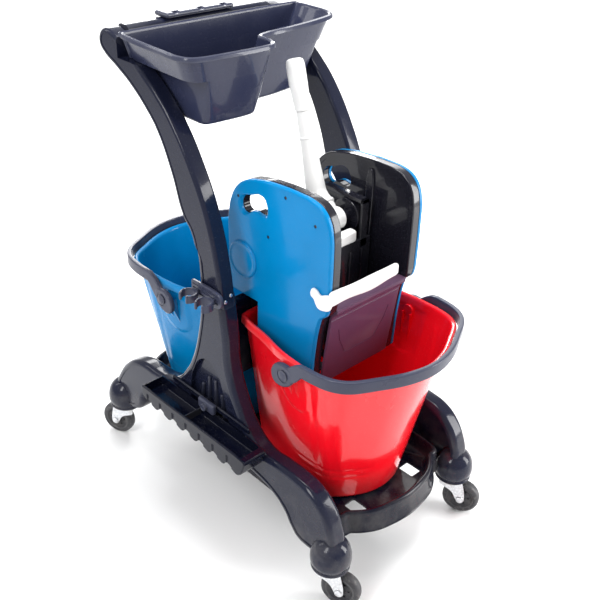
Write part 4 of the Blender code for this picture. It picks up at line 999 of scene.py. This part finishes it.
def fork_pressing(name):
    cap = turned("cap", [(0.0, FORK_TOP - 0.0024), (0.0215, FORK_TOP - 0.0024), (0.0225, FORK_TOP - 0.0016),
                         (0.0222, FORK_TOP - 0.0004), (0.0212, FORK_TOP), (0.0, FORK_TOP)], 44)
    bridge = soft_block("bridge", (-0.0208, -CHEEK_HALF + 0.0004, FORK_TOP - 0.0026),
                        (0.0228, CHEEK_HALF - 0.0004, FORK_TOP - 0.0006), 0.0006, 2)
    parts = [cap, bridge]
    top = FORK_TOP - 0.001
    cheek_outline = [
        (-0.0213, top, 1), (0.0232, top, 1), (0.0268, top - 0.012), (0.0302, AXLE_Z + 0.006),
        (0.0298, AXLE_Z - 0.002), (0.0262, AXLE_Z - 0.0072), (TRAIL, AXLE_Z - 0.0088),
        (0.0172, AXLE_Z - 0.0066), (0.014, AXLE_Z - 0.001), (0.004, 0.06), (-0.013, 0.069), (-0.0195, 0.073)]
    for side in (-1, 1):
        cheek = outlined("fork_cheek", cheek_outline, *between(side, CHEEK_HALF - 0.0018, CHEEK_HALF))
        cut(cheek, rod("eye", (TRAIL, -0.03, AXLE_Z), (TRAIL, 0.03, AXLE_Z), BORE_R, 0.0, 32))
        bevel(cheek, 0.0005, 2, 50.0)
        boss = turned("boss", [(BORE_R, 0.0), (0.0074, 0.0), (0.007, 0.0002), (BORE_R, 0.0002)], 32,
                      (TRAIL, side * CHEEK_HALF, AXLE_Z), (0, side, 0))
        parts += [cheek, boss]
    return joined(name, parts)


def axle_pin(name):
    head = CHEEK_HALF + AIR
    return turned(name, both_ends([
        (0.0, head + 0.0025), (0.003, head + 0.0025), (0.0062, head + 0.0017), (0.007, head + 0.0004),
        (0.007, head), (AXLE_R, head)]), 32, AXLE_AT, ACROSS)


def wheel_centre():
    half = mm((7.6, 11.2), (8.8, 10.4), (10, 7), (11.2, 5.8), (15, 5.2), (19.6, 6))
    half = [(BORE_R, 0.0112)] + half
    half += [(0.0218, RIM_HALF_W - 0.0012), (0.0232, RIM_HALF_W), (HUB_R, RIM_HALF_W)]
    centre = turned("wheel_hub", both_ends(half), 56, AXLE_AT, ACROSS)
    for side in (-1, 1):
        for i in range(6):
            spoke = math.tau * i / 6
            x, z = TRAIL + 0.0152 * math.cos(spoke), AXLE_Z + 0.0152 * math.sin(spoke)
            cut(centre, rod("hub_hole", (x, side * 0.0035, z), (x, side * 0.02, z), 0.0026, 0.0, 20))
    return centre


def tyre_moulding(name):
    half = TYRE_HALF_W
    return turned(name, both_ends([
        (HUB_R + AIR, RIM_HALF_W), (0.0272, half - 0.0002), (0.0295, half), (0.0318, half - 0.0012),
        (0.0336, half - 0.0032), (0.0347, half - 0.006), (WHEEL_R, half - 0.0085)]), 72, AXLE_AT, ACROSS)


for tag, x_way, y_way, yaw in CORNERS:
    stand = Matrix.Translation((x_way * CASTER_X, y_way * CASTER_Y, 0.0))
    stand = stand @ Matrix.Rotation(math.radians(yaw), 4, "Z")
    made_parts = (
        (swivel_race(), "chassis", "zinc_steel", "bearing"),
        (fork_pressing(f"caster_{tag}_fork_pressing"), f"caster_{tag}_swivel", "zinc_steel", "fork"),
        (axle_pin(f"caster_{tag}_axle_turned"), f"caster_{tag}_swivel", "zinc_steel", "axle"),
        (wheel_centre(), f"caster_{tag}_wheel", "hub_plastic", "hub"),
        (tyre_moulding(f"caster_{tag}_tyre_moulding"), f"caster_{tag}_wheel", "tyre_rubber", "tyre"))
    for made, body, slot, part in made_parts:
        bake(made)
        made.data.transform(stand)
        if part == "hub":
            made.name = f"caster_{tag}_hub_moulding"
        piece(made, body, slot, [f"caster_{tag}_{part}"])

# ==== camera, light and floor ====
azimuth, elevation, roll = (math.radians(v) for v in (CAMERA_AZIMUTH, CAMERA_ELEVATION, CAMERA_ROLL))
back = Vector((math.sin(azimuth) * math.cos(elevation), -math.cos(azimuth) * math.cos(elevation),
               math.sin(elevation)))
level = Vector((math.cos(azimuth), math.sin(azimuth), 0.0))
rise = back.cross(level)
right = math.cos(roll) * level + math.sin(roll) * rise
upward = math.cos(roll) * rise - math.sin(roll) * level
camera_data = bpy.data.cameras.new("camera")
camera_data.sensor_width = 36.0
camera_data.lens = CAMERA_LENS
camera = new_object("camera", camera_data)
stand = Matrix((right, upward, back)).transposed().to_4x4()
stand.translation = CAMERA_TARGET + HOME + back * CAMERA_DISTANCE
camera.matrix_world = stand
bpy.context.scene.camera = camera

MIDDLE = (CAD_BOX[0] + CAD_BOX[1]) / 2


def soft_light(name, place, size, power, colour=(1.0, 1.0, 1.0), aim=MIDDLE):
    data = bpy.data.lights.new(name, "AREA")
    data.shape = "RECTANGLE"
    data.size, data.size_y = size
    data.energy = power
    data.color = colour
    lamp = new_object(name, data)
    lamp.location = place
    lamp.rotation_euler = (aim - Vector(place)).to_track_quat("-Z", "Y").to_euler()


soft_light("key", (0.3, -2.0, 2.1), (0.7, 1.5), 36.0)
soft_light("front_panel", (1.85, 1.55, 0.95), (0.8, 1.6), 52.0)
soft_light("back_panel", (-2.1, 1.5, 1.45), (1.5, 0.7), 30.0)
soft_light("top", (-0.1, 0.2, 2.6), (1.5, 0.8), 46.0)
soft_light("side_strip", (-1.9, -1.3, 1.9), (0.25, 1.4), 7.0)
soft_light("floor_wash", (-2.4, 2.6, 2.2), (3.0, 2.0), 90.0, aim=Vector((-2.4, 2.8, 0.0)))

world = bpy.data.worlds.new("studio")
bpy.context.scene.world = world
world.use_nodes = True
world.node_tree.nodes["Background"].inputs["Color"].default_value = (1.0, 1.0, 1.0, 1.0)
world.node_tree.nodes["Background"].inputs["Strength"].default_value = 0.72

floor_bm = bmesh.new()
bmesh.ops.create_circle(floor_bm, cap_ends=True, segments=64, radius=14.0)
floor = new_object("studio_floor", mesh_from_bmesh("studio_floor", floor_bm))
floor_mat, floor_tree, floor_shader = nodes_of("studio_floor")
floor_place = floor_tree.nodes.new("ShaderNodeTexCoord").outputs["Object"]
floor_tone = mix_colour(floor_tree, noise(floor_tree, floor_place, 3.0), (0.9, 0.9, 0.9), (0.93, 0.93, 0.93))
floor_tree.links.new(floor_tone, floor_shader.inputs["Base Color"])
floor_shader.inputs["Roughness"].default_value = 0.65
floor.data.materials.append(floor_mat)
bpy.context.scene.view_settings.view_transform = "Standard"
